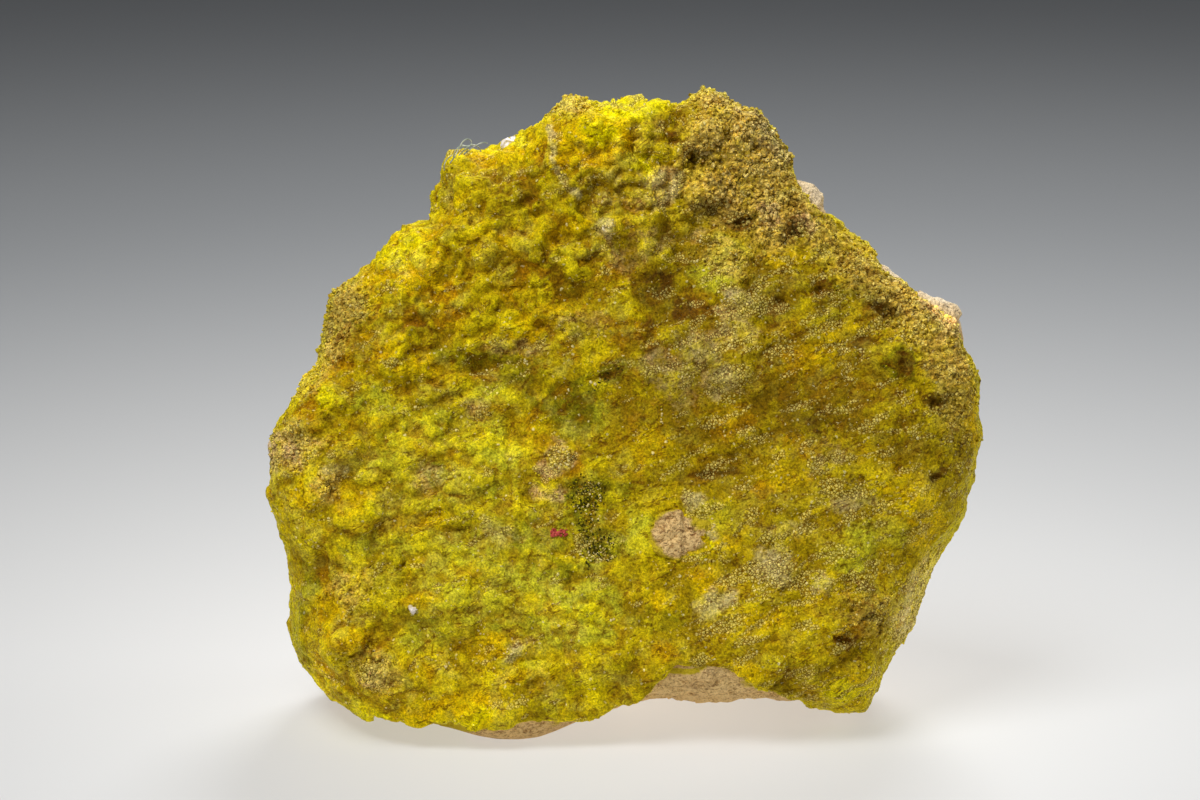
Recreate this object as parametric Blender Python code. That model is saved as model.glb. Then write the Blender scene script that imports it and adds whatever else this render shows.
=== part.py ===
"""Chromatite specimen: a lumpy yellow chromatite crust on a leaning slab of pinkish tan limestone.

The stone is first made facing the viewer upright, in millimetres, with x to the right, y into the
stone and z up its broad face. It is then leant back on its foot and cut flat where it rests.
"""
import math

import bmesh
import bpy
from mathutils import Matrix, Vector, noise
from mathutils.kdtree import KDTree

MM = 0.001

# Outline of the broad face in millimetres, (x, z) from the left foot up over the top and back.
OUTLINE = (
    (-8.0, -0.3), (-12.0, -0.5), (-16.0, 0.3), (-20.0, 1.6), (-23.5, 2.2), (-27.4, 3.6),
    (-29.8, 6.2), (-30.6, 9.5), (-30.2, 13.5), (-30.7, 17.2), (-31.8, 20.5), (-32.6, 24.8),
    (-31.9, 27.6), (-29.3, 31.6), (-27.8, 34.0), (-26.9, 38.2), (-25.4, 41.6), (-22.6, 43.4),
    (-20.2, 45.8), (-18.0, 46.9), (-17.3, 50.0), (-15.2, 52.6), (-12.0, 53.3), (-8.2, 55.2),
    (-6.2, 57.4), (-4.2, 58.2), (-2.0, 57.5), (1.0, 58.1), (4.0, 57.4), (7.2, 58.8),
    (10.5, 58.0), (12.9, 56.0), (14.6, 53.2), (16.2, 50.3), (18.1, 48.5), (20.5, 46.4),
    (22.6, 44.1), (24.6, 42.3), (27.2, 40.0), (29.5, 38.5), (31.5, 36.0), (31.9, 32.0),
    (32.4, 27.8), (31.9, 24.0), (31.0, 20.8), (29.2, 18.0), (27.5, 13.0), (25.9, 9.5),
    (24.3, 6.7), (22.9, 3.1), (21.2, 1.9), (18.0, 2.3), (14.0, 3.4), (10.8, 3.4),
    (8.0, 3.0), (5.0, 3.2), (2.3, 4.0), (-1.5, 2.2), (-4.0, 1.5), (-6.0, 0.8),
)
MIDDLE = Vector((-1.0, 0.0, 28.0))
NOISE_PLACE = Vector((0.37, 1.91, 0.73))

# The slab: its depth, how its front edge rounds off, and how it leans and stands.
SLAB_DEPTH = 30.0
FRONT_EDGE = ((0.0, 2.4), (2.0, 0.7), (4.5, 0.0))
FRONT_DEPTH = 6.0
LEAN = math.radians(15.0)
FOOT = Vector((-12.0, 4.0, -0.5))

# Broken faces of the slab, each a point on the face and the direction it looks in.
BROKEN_FACES = {
    "back": ((0.0, 27.6, 5.0), (0.0, 0.985, 0.175)),
    "back_left": ((-31.5, 13.5, 20.0), (-0.66, 0.74, 0.12)),
    "back_right": ((31.5, 11.5, 25.0), (0.66, 0.73, 0.16)),
    "back_top": ((0.0, 8.5, 57.5), (0.05, 0.80, 0.60)),
    "shoulder_left": ((-22.5, 9.5, 44.0), (-0.58, 0.60, 0.55)),
    "shoulder_right": ((23.5, 8.0, 43.5), (0.50, 0.66, 0.56)),
    "heel_right": ((25.5, 16.0, 9.0), (0.80, 0.42, -0.42)),
    "chip_back": ((-11.0, 24.6, 24.0), (-0.22, 0.95, 0.24)),
    "side_left": ((-27.3, 0.0, 10.0), (-0.88, -0.40, -0.26)),
    "side_right": ((26.8, 8.0, 11.0), (0.83, -0.35, -0.43)),
}

# Unevenness of the weathered limestone: how wide its waves are, and how high they stand on the
# broad faces and on the edges.
WAVES = ((11.0, 1.2, 0.25), (4.6, 0.6, 0.3))

# Broad swells and hollows of the limestone's front, (x, z, radius, height).
SWELLS = (
    (1.0, 54.0, 6.0, 1.0), (-21.0, 40.0, 7.0, 0.8), (-17.0, 12.0, 9.0, 0.9),
    (17.0, 33.0, 8.0, 0.8), (17.0, 12.0, 7.0, 0.8), (-2.0, 26.0, 7.0, -1.0),
    (-27.0, 25.0, 5.0, 0.9), (9.0, 44.0, 6.0, -0.7), (4.8, 18.5, 4.0, -0.4),
    (-10.0, 33.0, 4.0, -0.6), (26.0, 24.0, 6.0, 0.5), (10.0, 24.0, 5.0, -0.5),
)

# The crust: its layer over the limestone, thin at its broken rim and full further in. The rim
# wanders and the skin is pebbly, each by a width and a height.
GAP = 0.32
THINNEST = 0.4
RIM_THICKNESS = 0.6
FULL_THICKNESS = 1.4
FULL_WITHIN = 4.0
WRAP_DEPTH = 10.5
LOWEST_CRUST = 1.1
RAGGED_RIM = (5.0, 2.2)
PEBBLES = ((3.1, 0.42), (1.7, 0.24))

# Stretches of the edge where the crust stops short, (x, z, radius, depth it still reaches).
BARE_EDGES = (
    (-8.0, 0.6, 3.5, 2.0), (-13.0, 0.2, 5.0, 2.2), (-19.0, 1.8, 4.0, 2.4), (-2.0, 2.4, 4.0, 2.6),
    (4.0, 4.0, 4.5, 1.4), (9.0, 3.8, 4.0, 1.4), (13.5, 3.8, 3.0, 2.6),
    (-32.5, 25.5, 3.5, 3.4), (29.5, 38.5, 4.0, 3.2), (25.0, 42.0, 2.5, 4.0), (17.0, 49.6, 2.2, 3.0),
)
# Stretches of the edge that the crust clothes further back.
CLOTHED_EDGES = ((-31.0, 12.0, 10.0, 13.0), (28.0, 12.0, 9.0, 12.5))

# Where the crust has flaked off the face down to the limestone, ovals (x, z, half width, half
# height): a window in the face, and a notch over the arch of the foot.
WINDOWS = ((4.9, 18.5, 2.4, 1.9), (6.6, 3.3, 4.9, 3.0))

# Lumps of the crust that stand out and pits that sink into it, (x, z, radius, height).
LUMPS = (
    (0.5, 55.0, 2.6, 1.2), (-3.6, 54.6, 1.8, 1.0), (6.8, 49.6, 1.3, 0.9), (7.0, 54.6, 1.1, 0.8),
    (11.0, 54.6, 2.2, 0.8), (-28.4, 28.4, 1.6, 1.1), (-26.6, 30.6, 1.3, 0.9),
    (-25.0, 26.3, 1.4, 0.8), (-28.3, 22.5, 1.4, 0.9), (-24.0, 19.8, 2.2, 0.9),
    (-29.8, 19.8, 1.3, 0.8), (-25.0, 9.0, 1.8, 1.3), (-20.5, 36.0, 2.3, 0.8),
    (-24.4, 34.4, 1.2, 0.6), (-18.5, 43.2, 2.4, 0.9), (-12.2, 38.4, 2.0, 0.8),
    (-13.6, 36.2, 1.2, 0.7), (-6.2, 53.0, 1.1, 0.7), (-5.2, 50.0, 1.0, 0.6),
    (-10.0, 8.0, 1.6, 0.6), (-13.5, 24.0, 2.0, 0.7), (-17.5, 27.5, 1.8, 0.7),
    (-11.0, 19.0, 1.9, 0.7), (-20.5, 24.6, 1.5, 0.7), (-7.0, 12.6, 1.8, 0.6),
    (-15.8, 5.4, 1.7, 0.7), (13.2, 7.6, 1.4, 0.8), (17.3, 10.6, 1.5, 0.8), (21.4, 12.6, 1.4, 0.7),
    (11.2, 11.4, 1.6, 0.6), (14.0, 20.0, 2.2, 0.6), (20.0, 18.0, 2.0, 0.7), (26.0, 22.0, 1.7, 0.7),
    (23.0, 28.4, 1.7, 0.7), (28.4, 33.0, 1.8, 0.8), (22.4, 36.0, 1.6, 0.7), (16.2, 37.6, 1.5, 0.7),
    (12.0, 33.0, 1.9, 0.6), (12.6, 48.8, 1.8, 0.7), (2.6, 44.4, 1.8, 0.6), (-7.4, 44.0, 2.0, 0.6),
    (-12.0, 47.4, 2.0, 0.8), (4.4, 36.8, 1.7, 0.5), (-5.4, 34.0, 1.7, 0.6), (4.0, 12.2, 1.7, 0.6),
    (-0.6, 17.6, 1.5, 0.5), (-21.6, 13.0, 1.6, 0.6), (-16.0, 12.6, 1.7, 0.6),
    (-2.0, 6.8, 1.7, 0.5), (20.4, 23.6, 1.8, 0.5), (-0.5, 39.0, 1.8, 0.5), (-20.0, 17.6, 1.5, 0.5),
)
PITS = (
    (6.2, 52.4, 1.1, 1.0), (8.2, 47.6, 1.0, 0.7), (10.5, 46.4, 1.0, 0.7), (15.3, 45.4, 1.0, 0.8),
    (13.8, 39.4, 1.0, 0.8), (17.7, 41.0, 1.1, 0.9), (19.6, 43.0, 0.9, 0.8), (24.0, 38.8, 1.3, 0.8),
    (25.0, 31.6, 1.2, 0.8), (27.8, 30.2, 1.0, 0.8), (-20.2, 15.3, 1.0, 0.9),
    (-27.0, 15.6, 1.5, 1.1), (-25.0, 6.2, 1.0, 0.9), (19.6, 8.8, 1.1, 1.1), (23.0, 10.6, 1.0, 0.8),
    (14.8, 5.8, 0.9, 0.8), (-13.4, 34.0, 1.3, 1.0), (7.0, 24.2, 1.6, 0.5),
    (-3.5, 21.4, 1.5, 0.7), (-2.6, 17.0, 1.1, 0.6), (-15.5, 19.0, 1.0, 0.6),
    (-9.0, 28.6, 1.4, 0.6), (-21.0, 30.8, 1.3, 0.6), (0.4, 30.6, 1.5, 0.5), (-26.0, 22.6, 1.1, 0.6),
    (-9.6, 50.6, 1.2, 0.5), (-17.0, 33.0, 1.3, 0.5), (9.0, 16.0, 1.3, 0.4), (16.6, 15.0, 1.3, 0.5),
)

# Size of the faces that the solids are made of; the crust's outer skin has half of it in front.
FACE_SIZE = 2.65
FINE_DEPTH = 5.0
WINDOW_MARGIN = 1.6
STRAY_HOLE = 40
PATCH_CLEANINGS = 4
RIM_SOFTENING = 2

ROCK_COLOUR = (0.48, 0.33, 0.22, 1.0)
CRUST_COLOUR = (0.42, 0.28, 0.02, 1.0)


def clear_scene():
    for old in list(bpy.data.objects):
        bpy.data.objects.remove(old, do_unlink=True)


def finish(name, colour, roughness):
    material = bpy.data.materials.new(name)
    material.use_nodes = True
    shader = material.node_tree.nodes["Principled BSDF"]
    shader.inputs["Base Color"].default_value = colour
    shader.inputs["Roughness"].default_value = roughness
    shader.inputs["Metallic"].default_value = 0.0
    material.diffuse_color = colour
    return material


def smooth_step(t):
    t = min(max(t, 0.0), 1.0)
    return t * t * (3.0 - 2.0 * t)


def relief(point, spots):
    """Sum of the round swells at a point of the front; a swell fades out on the far side."""
    height = 0.0
    for x, z, radius, rise in spots:
        away = ((point.x - x) ** 2 + (point.z - z) ** 2) / radius ** 2
        if away < 6.0:
            height += rise * math.exp(-away)
    return height * (1.0 - smooth_step(point.y / FRONT_DEPTH - 1.0))


def uneven(point, width):
    """A smooth random height between about -1 and 1 that changes over the given width."""
    return noise.noise(point / width + NOISE_PLACE * width)


def facing(vert):
    """1 where the surface looks straight out of the front, falling to 0 where it turns away."""
    return smooth_step(-1.3 * vert.normal.y)


def outline_ring(bm, depth, inset):
    """One copy of the outline at a depth, drawn in towards the middle by the inset."""
    ring = []
    for x, z in OUTLINE:
        out = Vector((x, 0.0, z)) - MIDDLE
        out *= 1.0 - inset / out.length
        ring.append(bm.verts.new(MIDDLE + out + Vector((0.0, depth, 0.0))))
    return ring


def knapped_slab():
    """The outline as a thick slab with a rounded front edge, broken along its flat faces."""
    bm = bmesh.new()
    rings = [outline_ring(bm, depth, inset) for depth, inset in FRONT_EDGE]
    rings.append(outline_ring(bm, SLAB_DEPTH, 0.0))
    for near, far in zip(rings, rings[1:]):
        for i in range(len(near)):
            j = (i + 1) % len(near)
            bm.faces.new((near[i], near[j], far[j], far[i]))
    bm.faces.new(rings[0][::-1])
    bm.faces.new(rings[-1])
    bmesh.ops.recalc_face_normals(bm, faces=bm.faces)
    for point, direction in BROKEN_FACES.values():
        cut_flat(bm, Vector(point), Vector(direction))
    return bm


def cut_flat(bm, point, direction):
    """Cut off what lies beyond a plane and close the solid there."""
    whole = bm.verts[:] + bm.edges[:] + bm.faces[:]
    cut = bmesh.ops.bisect_plane(
        bm, geom=whole, plane_co=point, plane_no=direction, clear_outer=True
    )
    rim = [e for e in cut["geom_cut"] if isinstance(e, bmesh.types.BMEdge)]
    bmesh.ops.triangle_fill(bm, use_beauty=True, edges=rim, normal=direction)


def even_skin(bm, face_size):
    """The same solid with faces of one size all over."""
    mesh = bpy.data.meshes.new("blank")
    bm.to_mesh(mesh)
    bm.free()
    blank = bpy.data.objects.new("blank", mesh)
    bpy.context.scene.collection.objects.link(blank)
    remesh = blank.modifiers.new("even", "REMESH")
    remesh.mode = "VOXEL"
    remesh.voxel_size = face_size
    bpy.context.view_layer.update()
    seen = blank.evaluated_get(bpy.context.evaluated_depsgraph_get())
    skin = bmesh.new()
    skin.from_mesh(seen.to_mesh())
    seen.to_mesh_clear()
    bpy.data.objects.remove(blank, do_unlink=True)
    bpy.data.meshes.remove(mesh)
    return skin


def weather(bm):
    """Give the broken faces the soft unevenness of weathered limestone."""
    bm.normal_update()
    moves = []
    for vert in bm.verts:
        rise = facing(vert) * relief(vert.co, SWELLS)
        for width, on_face, on_edge in WAVES:
            height = on_edge + (on_face - on_edge) * abs(vert.normal.y)
            rise += height * uneven(vert.co, width)
        moves.append((vert, vert.normal * rise))
    for vert, move in moves:
        vert.co += move
    soften(bm)


def soften(bm):
    """Round off the sharpest corners between neighbouring faces."""
    bmesh.ops.smooth_vert(
        bm, verts=bm.verts, factor=0.3, use_axis_x=True, use_axis_y=True, use_axis_z=True
    )


def reach_of_crust(point):
    """How deep the crust wraps round the edge near this point, with a ragged margin."""
    reach = WRAP_DEPTH
    for x, z, radius, depth in CLOTHED_EDGES:
        if (point.x - x) ** 2 + (point.z - z) ** 2 < radius ** 2:
            reach = depth
    reach += RAGGED_RIM[1] * uneven(point, RAGGED_RIM[0])
    for x, z, radius, depth in BARE_EDGES:
        away = math.hypot(point.x - x, point.z - z) / radius
        if away < 1.0:
            reach = min(reach, depth)
    return reach


def in_window(point, margin=0.0):
    """Whether a point of the front lies in one of the windows, or within a margin of it."""
    if point.y > FRONT_DEPTH:
        return False
    return any(
        math.hypot((point.x - x) / (width + margin), (point.z - z) / (height + margin)) < 1.0
        for x, z, width, height in WINDOWS
    )


def leant():
    """The turn and the move that stand the stone on its foot."""
    turn = Matrix.Rotation(-LEAN, 4, "X")
    return Matrix.Translation((0.0, 0.0, -(turn @ FOOT).z)) @ turn


def middle_of(edge):
    return (edge.verts[0].co + edge.verts[1].co) / 2.0


def carries_crust(face, stand):
    middle = face.calc_center_median()
    lowest = min((stand @ v.co).z for v in face.verts)
    if lowest < LOWEST_CRUST or in_window(middle):
        return False
    return middle.y < reach_of_crust(middle)


def refine_round_windows(bm):
    """Halve the faces round the windows, so that their rims come out round."""
    near = [e for e in bm.edges if in_window(middle_of(e), WINDOW_MARGIN)]
    bmesh.ops.subdivide_edges(bm, edges=near, cuts=1, use_grid_fill=True)
    bmesh.ops.triangulate(bm, faces=bm.faces)
    bm.verts.index_update()
    bm.faces.index_update()


def crust_faces(bm, stand):
    """The faces under the crust: one patch with no scraps, no stray holes and no pinched corners."""
    covered = {f for f in bm.faces if carries_crust(f, stand)}
    for _ in range(PATCH_CLEANINGS):
        covered = {f for f in covered if neighbours_in(f, covered) >= 2}
        covered |= {f for f in bm.faces if f not in covered and closed_in(f, covered)}
        covered = max(patches(covered), key=len)
        bare = [p for p in patches(set(bm.faces) - covered) if len(p) < STRAY_HOLE]
        for hole in bare:
            if not any(in_window(f.calc_center_median()) for f in hole):
                covered |= hole
        open_pinches(covered)
    return covered


def neighbours_in(face, covered):
    return sum(any(g in covered for g in e.link_faces if g is not face) for e in face.edges)


def closed_in(face, covered):
    return neighbours_in(face, covered) == 3 and not in_window(face.calc_center_median())


def patches(faces):
    """The connected patches of a set of faces, in the order of their first faces."""
    left = set(faces)
    found = []
    for start in sorted(faces, key=lambda f: f.index):
        if start not in left:
            continue
        left.discard(start)
        patch = {start}
        front = [start]
        while front:
            beside = {g for e in front.pop().edges for g in e.link_faces} & left
            left -= beside
            patch |= beside
            front += beside
        found.append(patch)
    return found


def open_pinches(covered):
    """Uncover the corners where two parts of the patch, or two of its holes, touch in a point."""
    for vert in sorted({v for f in covered for v in f.verts}, key=lambda v: v.index):
        ends = [e for e in vert.link_edges if sum(f in covered for f in e.link_faces) == 1]
        if len(ends) > 2:
            covered -= set(vert.link_faces)


def soften_rim(patch):
    """Even out the zigzag of the crust's rim along the faces that it follows."""
    for _ in range(RIM_SOFTENING):
        rim = {}
        for face in patch:
            for edge in face.edges:
                if any(f not in patch for f in edge.link_faces):
                    for vert in edge.verts:
                        rim.setdefault(vert, set()).add(edge.other_vert(vert))
        moved = {v: v.co.lerp(sum((n.co for n in near), Vector()) / len(near), 0.5)
                 for v, near in rim.items()}
        for vert, place in moved.items():
            vert.co = place


def rim_distance(patch):
    """How far each covered vertex lies from the crust's broken rim."""
    verts = {v for f in patch for v in f.verts}
    rim = [v for v in verts if any(f not in patch for f in v.link_faces)]
    tree = KDTree(len(rim))
    for i, vert in enumerate(rim):
        tree.insert(vert.co, i)
    tree.balance()
    return {v: tree.find(v.co)[2] for v in verts}


def sink_under_crust(from_rim):
    """Lower the limestone under the crust, so that the crust's top stays on the outline."""
    moves = []
    for vert, away in from_rim.items():
        around = sum((e.other_vert(vert).normal for e in vert.link_edges), vert.normal.copy())
        moves.append((vert, around.normalized() * bed_depth(away)))
    for vert, move in moves:
        vert.co -= move


def bed_depth(from_rim):
    return (GAP + FULL_THICKNESS) * smooth_step(from_rim / FULL_WITHIN)


def crust_height(vert, from_rim):
    """Thickness of the crust at a point that far from its rim: layer, pebbles, lumps, pits."""
    inner = smooth_step(from_rim / FULL_WITHIN)
    swell = sum(height * uneven(vert.co, width) for width, height in PEBBLES)
    swell += facing(vert) * (relief(vert.co, LUMPS) - relief(vert.co, PITS))
    layer = RIM_THICKNESS + (FULL_THICKNESS - RIM_THICKNESS) * inner
    return max(layer + (0.35 + 0.65 * inner) * swell, THINNEST)


def crust_shell(patch, from_rim):
    """The crust as one closed shell: a coarse underside, a fine outer skin and a rim."""
    bm = bmesh.new()
    rim_away = bm.verts.layers.float.new("from_rim")
    is_outer = bm.faces.layers.int.new("is_outer")
    for outer in (0, 1):
        add_sheet(bm, patch, from_rim, rim_away, is_outer, outer)
    skin = {e for f in bm.faces if f[is_outer] for e in f.edges}
    fine = [e for e in bm.edges if (e in skin or e.is_boundary) and in_front(e)]
    bmesh.ops.subdivide_edges(bm, edges=fine, cuts=1, use_grid_fill=True)
    bm.normal_update()
    outer_rim = {
        key(v): v for f in bm.faces if f[is_outer] for e in f.edges if e.is_boundary
        for v in e.verts
    }
    inner_rim = [e for e in bm.edges if e.is_boundary and not e.link_faces[0][is_outer]]
    walls = [
        (a, b, outer_rim[key(b)], outer_rim[key(a)]) for a, b in (e.verts for e in inner_rim)
    ]
    for vert in bm.verts:
        height = 0.0
        if vert.link_faces[0][is_outer]:
            height = crust_height(vert, vert[rim_away])
        vert.co = vert.co + vert.normal * (GAP + height)
    for wall in walls:
        bm.faces.new(wall)
    bmesh.ops.triangulate(bm, faces=bm.faces)
    bmesh.ops.recalc_face_normals(bm, faces=bm.faces)
    return bm


def in_front(edge):
    return middle_of(edge).y < FINE_DEPTH


def key(vert):
    return tuple(round(c, 4) for c in vert.co)


def add_sheet(bm, patch, from_rim, rim_away, is_outer, outer):
    """Copy the covered faces of the limestone into the shell as one sheet."""
    copies = {}
    for face in sorted(patch, key=lambda f: f.index):
        for vert in face.verts:
            if vert not in copies:
                copies[vert] = bm.verts.new(vert.co)
                copies[vert][rim_away] = from_rim[vert]
        sheet = bm.faces.new([copies[v] for v in face.verts])
        sheet[is_outer] = outer
    bm.verts.index_update()
    bm.edges.index_update()


def add_piece(name, bm, material):
    mesh = bpy.data.meshes.new(name)
    bm.to_mesh(mesh)
    bm.free()
    mesh.materials.append(material)
    mesh.shade_smooth()
    mesh.set_sharp_from_angle(angle=math.radians(50.0))
    piece = bpy.data.objects.new(name, mesh)
    bpy.context.scene.collection.objects.link(piece)
    return piece


def centre_on_floor(pieces):
    """Shift the solids so that the stone stands over the origin, and turn them into metres."""
    points = [v.co for bm in pieces for v in bm.verts]
    middle_x = (min(p.x for p in points) + max(p.x for p in points)) / 2.0
    middle_y = (min(p.y for p in points) + max(p.y for p in points)) / 2.0
    shift = Matrix.Translation((-middle_x, -middle_y, 0.0))
    for bm in pieces:
        bmesh.ops.transform(bm, matrix=Matrix.Scale(MM, 4) @ shift, verts=bm.verts)


def build():
    clear_scene()
    stand = leant()
    rock = even_skin(knapped_slab(), FACE_SIZE)
    weather(rock)
    refine_round_windows(rock)
    patch = crust_faces(rock, stand)
    soften_rim(patch)
    from_rim = rim_distance(patch)
    rock.normal_update()
    sink_under_crust(from_rim)
    soften(rock)
    crust = crust_shell(patch, from_rim)
    for bm in (rock, crust):
        bmesh.ops.transform(bm, matrix=stand, verts=bm.verts)
    cut_flat(rock, Vector((0.0, 0.0, 0.0)), Vector((0.0, 0.0, -1.0)))
    bmesh.ops.triangulate(rock, faces=rock.faces)
    centre_on_floor((rock, crust))
    add_piece("matrix_rock", rock, finish("pinkish tan limestone", ROCK_COLOUR, 0.9))
    add_piece("chromatite_crust", crust, finish("chromatite", CRUST_COLOUR, 0.75))


build()
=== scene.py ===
import itertools
import math

import bmesh
import bpy
import numpy as np
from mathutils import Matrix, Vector
from mathutils.bvhtree import BVHTree


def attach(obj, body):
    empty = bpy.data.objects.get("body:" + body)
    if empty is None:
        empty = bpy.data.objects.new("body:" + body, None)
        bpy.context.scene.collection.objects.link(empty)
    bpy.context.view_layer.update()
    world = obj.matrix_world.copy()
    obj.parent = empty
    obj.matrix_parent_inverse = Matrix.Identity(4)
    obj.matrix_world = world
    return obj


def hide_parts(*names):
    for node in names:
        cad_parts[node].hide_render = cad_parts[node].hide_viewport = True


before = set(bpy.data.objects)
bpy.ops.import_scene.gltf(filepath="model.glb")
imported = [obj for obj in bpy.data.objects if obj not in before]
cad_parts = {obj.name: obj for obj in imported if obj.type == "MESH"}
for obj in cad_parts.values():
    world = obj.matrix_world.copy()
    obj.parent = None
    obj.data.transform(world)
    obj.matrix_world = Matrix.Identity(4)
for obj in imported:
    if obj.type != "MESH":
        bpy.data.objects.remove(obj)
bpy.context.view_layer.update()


# ------------------------------ matrix rock
# The slab that carries the crust: a fine-grained, pinkish tan carbonate rock,
# broken out by hand, so its back and edges are knapped and bare, with sharp
# grains, small holes where grains fell out, and pale dust in the hollows.

MM = 1000.0  # mm in a metre
LEAN = math.radians(15.0)  # how far the face leans back
FACE_FOOT = np.array((0.108, -15.740, 1.518))  # mm: where the face's own frame starts
BOX_CORNERS = [np.array(step) for step in itertools.product((0, 1), repeat=3)]
NEIGHBOUR_CELLS = [np.array(step) for step in itertools.product((-1, 0, 1), repeat=3)]
CELL_PRIMES = np.array((73856093, 19349663, 83492791))

ROCK_MESH_STEP = 0.31  # mm between its mesh points
ROCK_SOFTENING = 6
ROCK_BASE_GUARD = 0.8  # mm above the floor that stay as cut
ROCK_UNDER_CRUST = 0.15  # mm inside the crust: what it hides
ROCK_KEPT = 0.66  # the share of its faces left once what the crust covers is thinned
WINDOW_RISE = 0.95  # mm that the bare window stands up
WINDOW_SIDE = (4.9, 18.5, 2.5, 2.0, 0)  # the oval line along which the window's side runs
WINDOW_WITHIN = 12  # mm into the stone: the window is on the front alone
POWDER_WITHIN = 14  # mm into the stone
BACK_FROM, BACK_WHOLE = 9, 13  # mm into the stone, between which the knapped back sets in
BASE_BLEND = 2.0  # mm above the floor where the relief is whole

# Places on the face, in mm: across, height, half width and half height, then strength if it isn't whole, and
# turn in degrees if it has one.
BARE_WINDOW = [(4.9, 18.5, 3, 2.5)]
POWDERED = [  # where yellow dust from the crust lies on the rock
    (-20, 2, 4.5, 1.2, 1, -6), (-15.5, 1, 2.2, 0.8), (-3, 3, 4, 0.6, 1, 24), (13.2, 5, 2.4, 0.9, 1, -6),
    (1.5, 5.2, 1.4, 0.6, 1, 20), (5, 6.4, 2.6, 0.3, 1, 4), (16, 4.2, 1.4, 0.5, 1, -20), (7.1, 19.8, 2, 1.15, 1, -48),
    (3, 16.6, 0.8, 0.5, 1, -40), (20.5, 46, 2.4, 0.5, 1, -45), (26, 41.6, 1.6, 0.35, 1, -30),
]
BLEACHED = [  # where it is paler: weathered pale, and painted rim light along the upper right edge at (28.6, 39.4) and (24.6, 43)
    (17, 49.6, 1.8, 1.8, 0.5), (28.6, 39.4, 4, 1.2, 0.85, -42), (24.6, 43, 2.4, 1, 0.7, -42), (-32.6, 26, 1, 3, 0.3),
]
POROUS = [  # where grains have fallen out and left brown pores
    (4.9, 18.5, 3.4, 3), (7, 5, 5, 2, 0.7), (14, 4, 4, 1.4, 0.7), (-14, 0.8, 9, 2, 0.8),
]

# Corners of the outline: across, height, how wide the pull is, and how far right and up it goes, all in mm.
CORNER_PULLS = [
    (-15.4, 52.4, 1.8, -0.9, 1.2), (-18.7, 47.9, 1.2, 0.8, -0.5), (-4.6, 57.6, 2.2, -0.6, 1),
    (7.6, 58.3, 2.2, 0, 0.9), (14.2, 54.4, 2.6, 0.6, 0.3), (17.4, 49.8, 1.3, 1, 0.6), (29.6, 38, 2.8, 0.8, 0.8),
    (30.6, 20, 1.7, 0.7, 0), (27.4, 11.8, 3, -0.25, 0), (22.8, 3.4, 1.6, 0.3, -0.1), (-30.6, 9.4, 2.4, -0.6, -0.2),
    (-27, 39.6, 2, -0.7, 0.2), (-28.8, 34.2, 1.4, 0.6, -0.4), (-32.4, 26.4, 2, -0.4, 0.2), (3.4, 58.2, 1.2, 0, -0.5),
    (12.6, 57.4, 1.2, 0.2, 0.3), (20.8, 46.2, 2, -0.3, -0.2), (24.8, 43, 1.6, -0.3, -0.2), (32.4, 27.6, 1.6, 0.4, 0),
    (-20.5, 46.6, 1.4, 0.2, 0.4), (17.8, 2.4, 1.8, 0, 0.6), (21.8, 2.6, 0.9, 0.3, -0.3), (24.2, 5, 1.4, -0.5, 0),
    (-33, 25.2, 1.6, 0.3, 0), (12, 56.4, 1.4, 0.2, 0.3),
]
ROCK_PULLS = [
    (28.8, 39.4, 2, 0.3, 0.35), (24.8, 43.2, 1.4, 0.2, 0.3), (17, 49.8, 1.2, 0.15, 0.15), (-33, 26, 1.6, -0.2, 0),
]


def on_face(points):
    """Across, into the stone and up the face, in mm, for points of the frame in metres."""
    across, back, up = (points * MM - FACE_FOOT).T
    return np.stack((
        across,
        back * math.cos(LEAN) - up * math.sin(LEAN),
        back * math.sin(LEAN) + up * math.cos(LEAN),
    ), axis=1)


def off_face(places):
    """Points of the frame in metres, for places given across, into the stone and up the face in mm."""
    across, depth, height = places.T
    return (np.stack((
        across,
        depth * math.cos(LEAN) + height * math.sin(LEAN),
        height * math.cos(LEAN) - depth * math.sin(LEAN),
    ), axis=1) + FACE_FOOT) / MM


def chance(cells, seed):
    """A steady number from 0 to 1 for each cell of a lattice."""
    mixed = np.bitwise_xor.reduce(cells * CELL_PRIMES, axis=-1)
    mixed = ((mixed ^ (seed * 97531)) & 0xFFFFFFFF) * 1274126177
    mixed = ((mixed ^ (mixed >> 15)) & 0xFFFFFFFF) * 668265263
    return ((mixed ^ (mixed >> 13)) & 0xFFFFFF) / 0xFFFFFF


def three_chances(cells, seed):
    """Three such numbers for each cell."""
    return np.stack([chance(cells, seed + axis) for axis in range(3)], axis=1)


def swells(places, size, seed):
    """Smooth unevenness from about -1 to 1, with swells about size mm across."""
    scaled = places / size + seed * 5.37
    cell = np.floor(scaled).astype(np.int64)
    part = scaled - cell
    fade = part ** 3 * (part * (part * 6 - 15) + 10)
    total = np.zeros(len(places))
    for corner in BOX_CORNERS:
        turn = chance(cell + corner, seed) * math.tau
        tilt = chance(cell + corner, seed + 50) * 2 - 1
        flat = np.sqrt(1 - tilt ** 2)
        away = part - corner
        slope = away[:, 0] * flat * np.cos(turn) + away[:, 1] * flat * np.sin(turn) + away[:, 2] * tilt
        total += slope * np.prod(np.where(corner, fade, 1 - fade), axis=1)
    return total * 1.7


def creased(places, size, seed):
    """Rounded lumps with sharp creases between them, from about -0.7 to 1."""
    return np.abs(swells(places, size, seed)) * 2.6 - 0.7


def cells_round(places, size, seed, shift):
    """The lattice cells round each place, one set at a time, with the way to each cell's own random middle."""
    scaled = places / size + seed * shift
    for step in NEIGHBOUR_CELLS:
        there = np.floor(scaled).astype(np.int64) + step
        yield there, there + (three_chances(there, seed + 1) * 0.8 + 0.1) - scaled


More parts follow.
